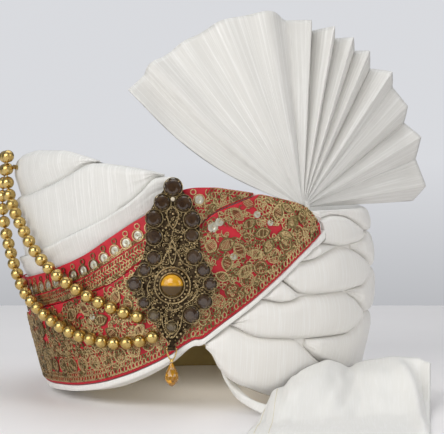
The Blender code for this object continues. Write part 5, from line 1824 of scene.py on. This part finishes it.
class TURBAN_OT_drop(bpy.types.Operator):
    """Hang the wire bail and the faceted amber drop from the brooch"""
    bl_idname = "turban.drop"
    bl_label = "Hanging drop"

    def execute(self, context):
        hinge = brooch_axes() @ Matrix.Translation((0, 0, BROOCH_PLATE + TUBE_RADIUS
                                                    + DROP_WIDTH * 0.25))
        gold = metal("drop_gilt")
        out = hinge.to_3x3() @ Vector((0, 0, 1))
        half = TUBE_LENGTH / 2 + BAIL_WIRE + GAP
        right = [(half, 0), (half * 1.02, -BAIL_DROP * 0.28), (half * 0.72, -BAIL_DROP * 0.72),
                 (BAIL_DROP * 0.16, -BAIL_DROP)]
        left = [(-x, y) for x, y in right]
        corners = left[:1] + right + left[:0:-1]
        work = Wirework(sides=8)
        path = []
        for i, (x, y) in enumerate(corners):
            before, after = Vector(corners[i - 1]), Vector(corners[(i + 1) % len(corners)])
            here = Vector((x, y))
            for point in (here.lerp(before, 0.12), here.lerp(after, 0.12)):
                path.append(hinge @ Vector((point.x, point.y, 0)))
        work.wire(path, BAIL_WIRE, out, closed=True)
        top = -BAIL_DROP + BAIL_WIRE * 0.5
        cap = hinge @ Matrix.Rotation(-math.pi / 2, 4, "X")
        work.turned(cap, ((BAIL_WIRE * 1.5, top), (DROP_WIDTH * 0.12, top - DROP_LENGTH * 0.05),
                          (DROP_WIDTH * 0.14, top - DROP_LENGTH * 0.12)), 12)
        dress(work.make("drop_bail_wire", gold, 50), "antique_gold", "drop_bail", body="drop")
        self.briolette(cap, top - DROP_LENGTH * 0.12 - GAP)
        return {"FINISHED"}

    @staticmethod
    def briolette(place, top):
        """The faceted drop."""
        work = Wirework()
        profile = [(DROP_WIDTH / 2 * wide, top - DROP_LENGTH * down)
                   for down, wide in DROP_SECTION]
        work.turned(place, profile, 10, half_step=True)
        dress(work.make("amber_drop_cut", stone_material("amber_drop_glass"), 5, True),
              "amber_glass", "amber_drop", body="drop")


class TURBAN_OT_tail(bpy.types.Operator):
    """Lay the free end of the cloth on the table, with its rolled neck"""
    bl_idname = "turban.tail"
    bl_label = "Free end"

    def execute(self, context):
        cloth = context.scene.turban_sizes.tail_cloth
        material = silk("tail_silk")
        rows = self.laid_rows()
        piece = grid_piece("tail_silk_sheet", doubled(rows, cloth), material, tube=True)
        dress(piece, "white_silk", "tail")
        neck = self.neck(material)
        stitches = self.stitches(rows, cloth)
        return {"FINISHED"}

    @staticmethod
    def laid_rows():
        """The sheet from its far edge to its hem, a row for each step across."""
        columns = [(i, *fold) for i, fold in enumerate(TAIL_FOLDS)]
        rows = []
        for place in spread(0, len(TAIL_FOLDS) - 1, 0.12):
            far_x, far_y, hump, hem_x = (smooth_value(columns, place, k) for k in (1, 2, 3, 4))
            far = TAIL_CORNER + Vector((far_x * TAIL_WIDTH, far_y * TAIL_REACH, 0))
            hem = TAIL_CORNER + Vector((hem_x * TAIL_WIDTH, -TAIL_OVERHANG, 0))
            gathers = TAIL_GATHER * abs(math.sin(place * 3.4)) * max(0.0, 1 - place / 4.5)
            row = []
            for run in spread(0, 1, 0.02):
                point = far.lerp(hem, run)
                fall = smooth_value(TAIL_FALL, run)
                soft = TAIL_WAVE * noise.noise(Vector((place * 0.60, run * 2.6, 7)))
                small = TAIL_RIPPLE * noise.noise(Vector((place * 1.5, run * 6.0, 9)))
                crest = RIDGE_FOLD + RIDGE_TURN * run
                ridge = TAIL_RIDGE * math.exp(-((place - crest) / 0.32) ** 2) * min(run * 5, 1)
                past = min(max((place - crest) / 0.7, 0), 1)
                fall *= 1 - 0.75 * past * min(run * 3.5, 1)
                loose = (soft + small) * min(fall * 3 + 0.45, 1) + ridge
                loose += gathers * (1 - 0.8 * run)
                hem_share = min((1 - run) / 0.15, 1.0)
                lift = max(fall * hump * TAIL_HUMP + loose * hem_share, 0.0)
                point.z = TAIL_LOW + lift
                row.append(point)
            rows.append(row)
        return rows

    @staticmethod
    def neck(material):
        """The rolled cloth that comes out from under the front edge."""
        route = [Vector(point) * MM for point in NECK_ROUTE]
        centres = spline(route, 60)[0]
        side = Vector((1, 0.3, 0))
        rows = []
        for i, centre in enumerate(centres):
            share = i / (len(centres) - 1)
            ahead = heading(centres, i).normalized()
            side = (side - ahead * side.dot(ahead)).normalized()
            other = ahead.cross(side)
            wide = NECK / 2 * smooth_value(NECK_SECTIONS, share, 1)
            thick = NECK / 2 * smooth_value(NECK_SECTIONS, share, 2)
            row = []
            for turn in spread(0, 342, 18):
                t = math.radians(turn)
                fold = 1 - 0.30 * (0.5 + 0.5 * math.cos(3 * t + share * 7)) ** 2
                out = side * wide * math.cos(t) + other * thick * math.sin(t)
                row.append(centre + out * fold)
            rows.append(row)
        piece = grid_piece("tail_neck_silk", rows, material, tube=True)
        return dress(piece, "white_silk")

    @staticmethod
    def stitches(rows, cloth):
        """Two rows of stitches along the left border."""
        work = Wirework(sides=5)
        for number in STITCHED_ROWS:
            line = [point + Vector((0, 0, cloth * 0.55)) for point in rows[number]]
            for i in range(1, len(line) - 2):
                start, end = line[i], line[i + 1]
                work.wire([start.lerp(end, 0.1), start.lerp(end, 0.5) + Vector((0, 0, 0.15 * MM)),
                           start.lerp(end, 0.9)], STITCH, Vector((0, 0, 1)))
        return dress(work.make("tail_stitches", plain_cloth("cream_thread"), 60), "white_silk")


class TurbanSizes(bpy.types.PropertyGroup):
    """Sizes that a user would change"""
    piping: bpy.props.FloatProperty(
        name="Piping", description="Width of the white edge under the brocade",
        default=0.004, min=0.001, unit="LENGTH")
    thread: bpy.props.FloatProperty(
        name="Gold thread", description="Thickness of the embroidery's thread",
        default=0.00080, min=0.0001, unit="LENGTH")
    bead: bpy.props.FloatProperty(
        name="Bead", description="Diameter of a bead", default=0.0082, min=0.002, unit="LENGTH")
    fan_cloth: bpy.props.FloatProperty(
        name="Fan cloth", description="Thickness of the fan's stiffened cloth",
        default=0.0007, min=0.0001, unit="LENGTH")
    tail_cloth: bpy.props.FloatProperty(
        name="Free end cloth", description="Thickness of the doubled cloth of the free end",
        default=0.0012, min=0.0001, unit="LENGTH")


def colour_property(name, description, default):
    """A colour that a user can change."""
    return bpy.props.FloatVectorProperty(name=name, description=description, default=default,
                                         subtype="COLOR", min=0.0, max=1.0)


class TurbanColours(bpy.types.PropertyGroup):
    """Colours that a user would change"""
    silk: colour_property("Silk", "White of the wound cloth", (0.81, 0.80, 0.77))
    lining: colour_property("Lining", "Cloth inside the turban", (0.36, 0.28, 0.115))
    brocade: colour_property("Brocade", "Red ground of the band", (0.50, 0.004, 0.018))
    zari: colour_property("Gold thread", "Thread of the embroidery", (0.62, 0.465, 0.24))
    dull: colour_property("Dull thread", "Darker thread among the gold", (0.26, 0.20, 0.09))
    sequin: colour_property("Sequin", "Silver of the sequins", (0.56, 0.55, 0.47))
    bead: colour_property("Bead", "Gold of the beads", (0.64, 0.46, 0.17))
    antique: colour_property("Antique gilt", "Plate of the brooch", (0.075, 0.052, 0.030))
    wire: colour_property("Brooch wire", "Balls, rims and wires", (0.56, 0.43, 0.23))
    smoke: colour_property("Smoky stone", "Dark stones", (0.055, 0.031, 0.015))
    clear: colour_property("Clear stone", "Round and pear stone", (0.17, 0.125, 0.06))
    cream: colour_property("Cream crystal", "Small crystal at the top", (0.80, 0.72, 0.55))
    amber: colour_property("Amber", "Centre stone and drop", (0.72, 0.36, 0.02))
    # Painted shade on the lower half of the centre stone
    stone_painted_shade: colour_property("Brown", "Lower half of the centre stone", (0.070, 0.036, 0.004))
    stitch: colour_property("Stitches", "Thread of the free end's border", (0.78, 0.72, 0.52))
    table: colour_property("Table", "Table top", (0.90, 0.875, 0.865))
    backdrop: colour_property("Backdrop", "Wall behind the table", (0.695, 0.705, 0.735))


STEPS = (
    TURBAN_OT_stage, TURBAN_OT_lining, TURBAN_OT_wraps, TURBAN_OT_band, TURBAN_OT_embroidery,
    TURBAN_OT_fan, TURBAN_OT_beads, TURBAN_OT_brooch, TURBAN_OT_drop, TURBAN_OT_tail,
)


class TURBAN_PT_panel(bpy.types.Panel):
    """Buttons for each step, with the sizes and colours"""
    bl_label = "Turban"
    bl_idname = "TURBAN_PT_panel"
    bl_space_type = "VIEW_3D"
    bl_region_type = "UI"
    bl_category = "Turban"

    def draw(self, context):
        layout = self.layout
        for group in (context.scene.turban_sizes, context.scene.turban_colours):
            for name in group.__annotations__:
                layout.prop(group, name)
        for step in STEPS:
            layout.operator(step.bl_idname)


CLASSES = (TurbanSizes, TurbanColours) + STEPS + (TURBAN_PT_panel,)


def register():
    """Register every class and the scene's settings."""
    for item in CLASSES:
        bpy.utils.register_class(item)
    bpy.types.Scene.turban_sizes = bpy.props.PointerProperty(type=TurbanSizes)
    bpy.types.Scene.turban_colours = bpy.props.PointerProperty(type=TurbanColours)


def unregister():
    """Take everything out again."""
    del bpy.types.Scene.turban_colours
    del bpy.types.Scene.turban_sizes
    for item in reversed(CLASSES):
        bpy.utils.unregister_class(item)


def main():
    """Build the whole scene."""
    register()
    for step in STEPS:
        group, name = step.bl_idname.split(".")
        getattr(getattr(bpy.ops, group), name)()


if __name__ == "__main__":
    main()
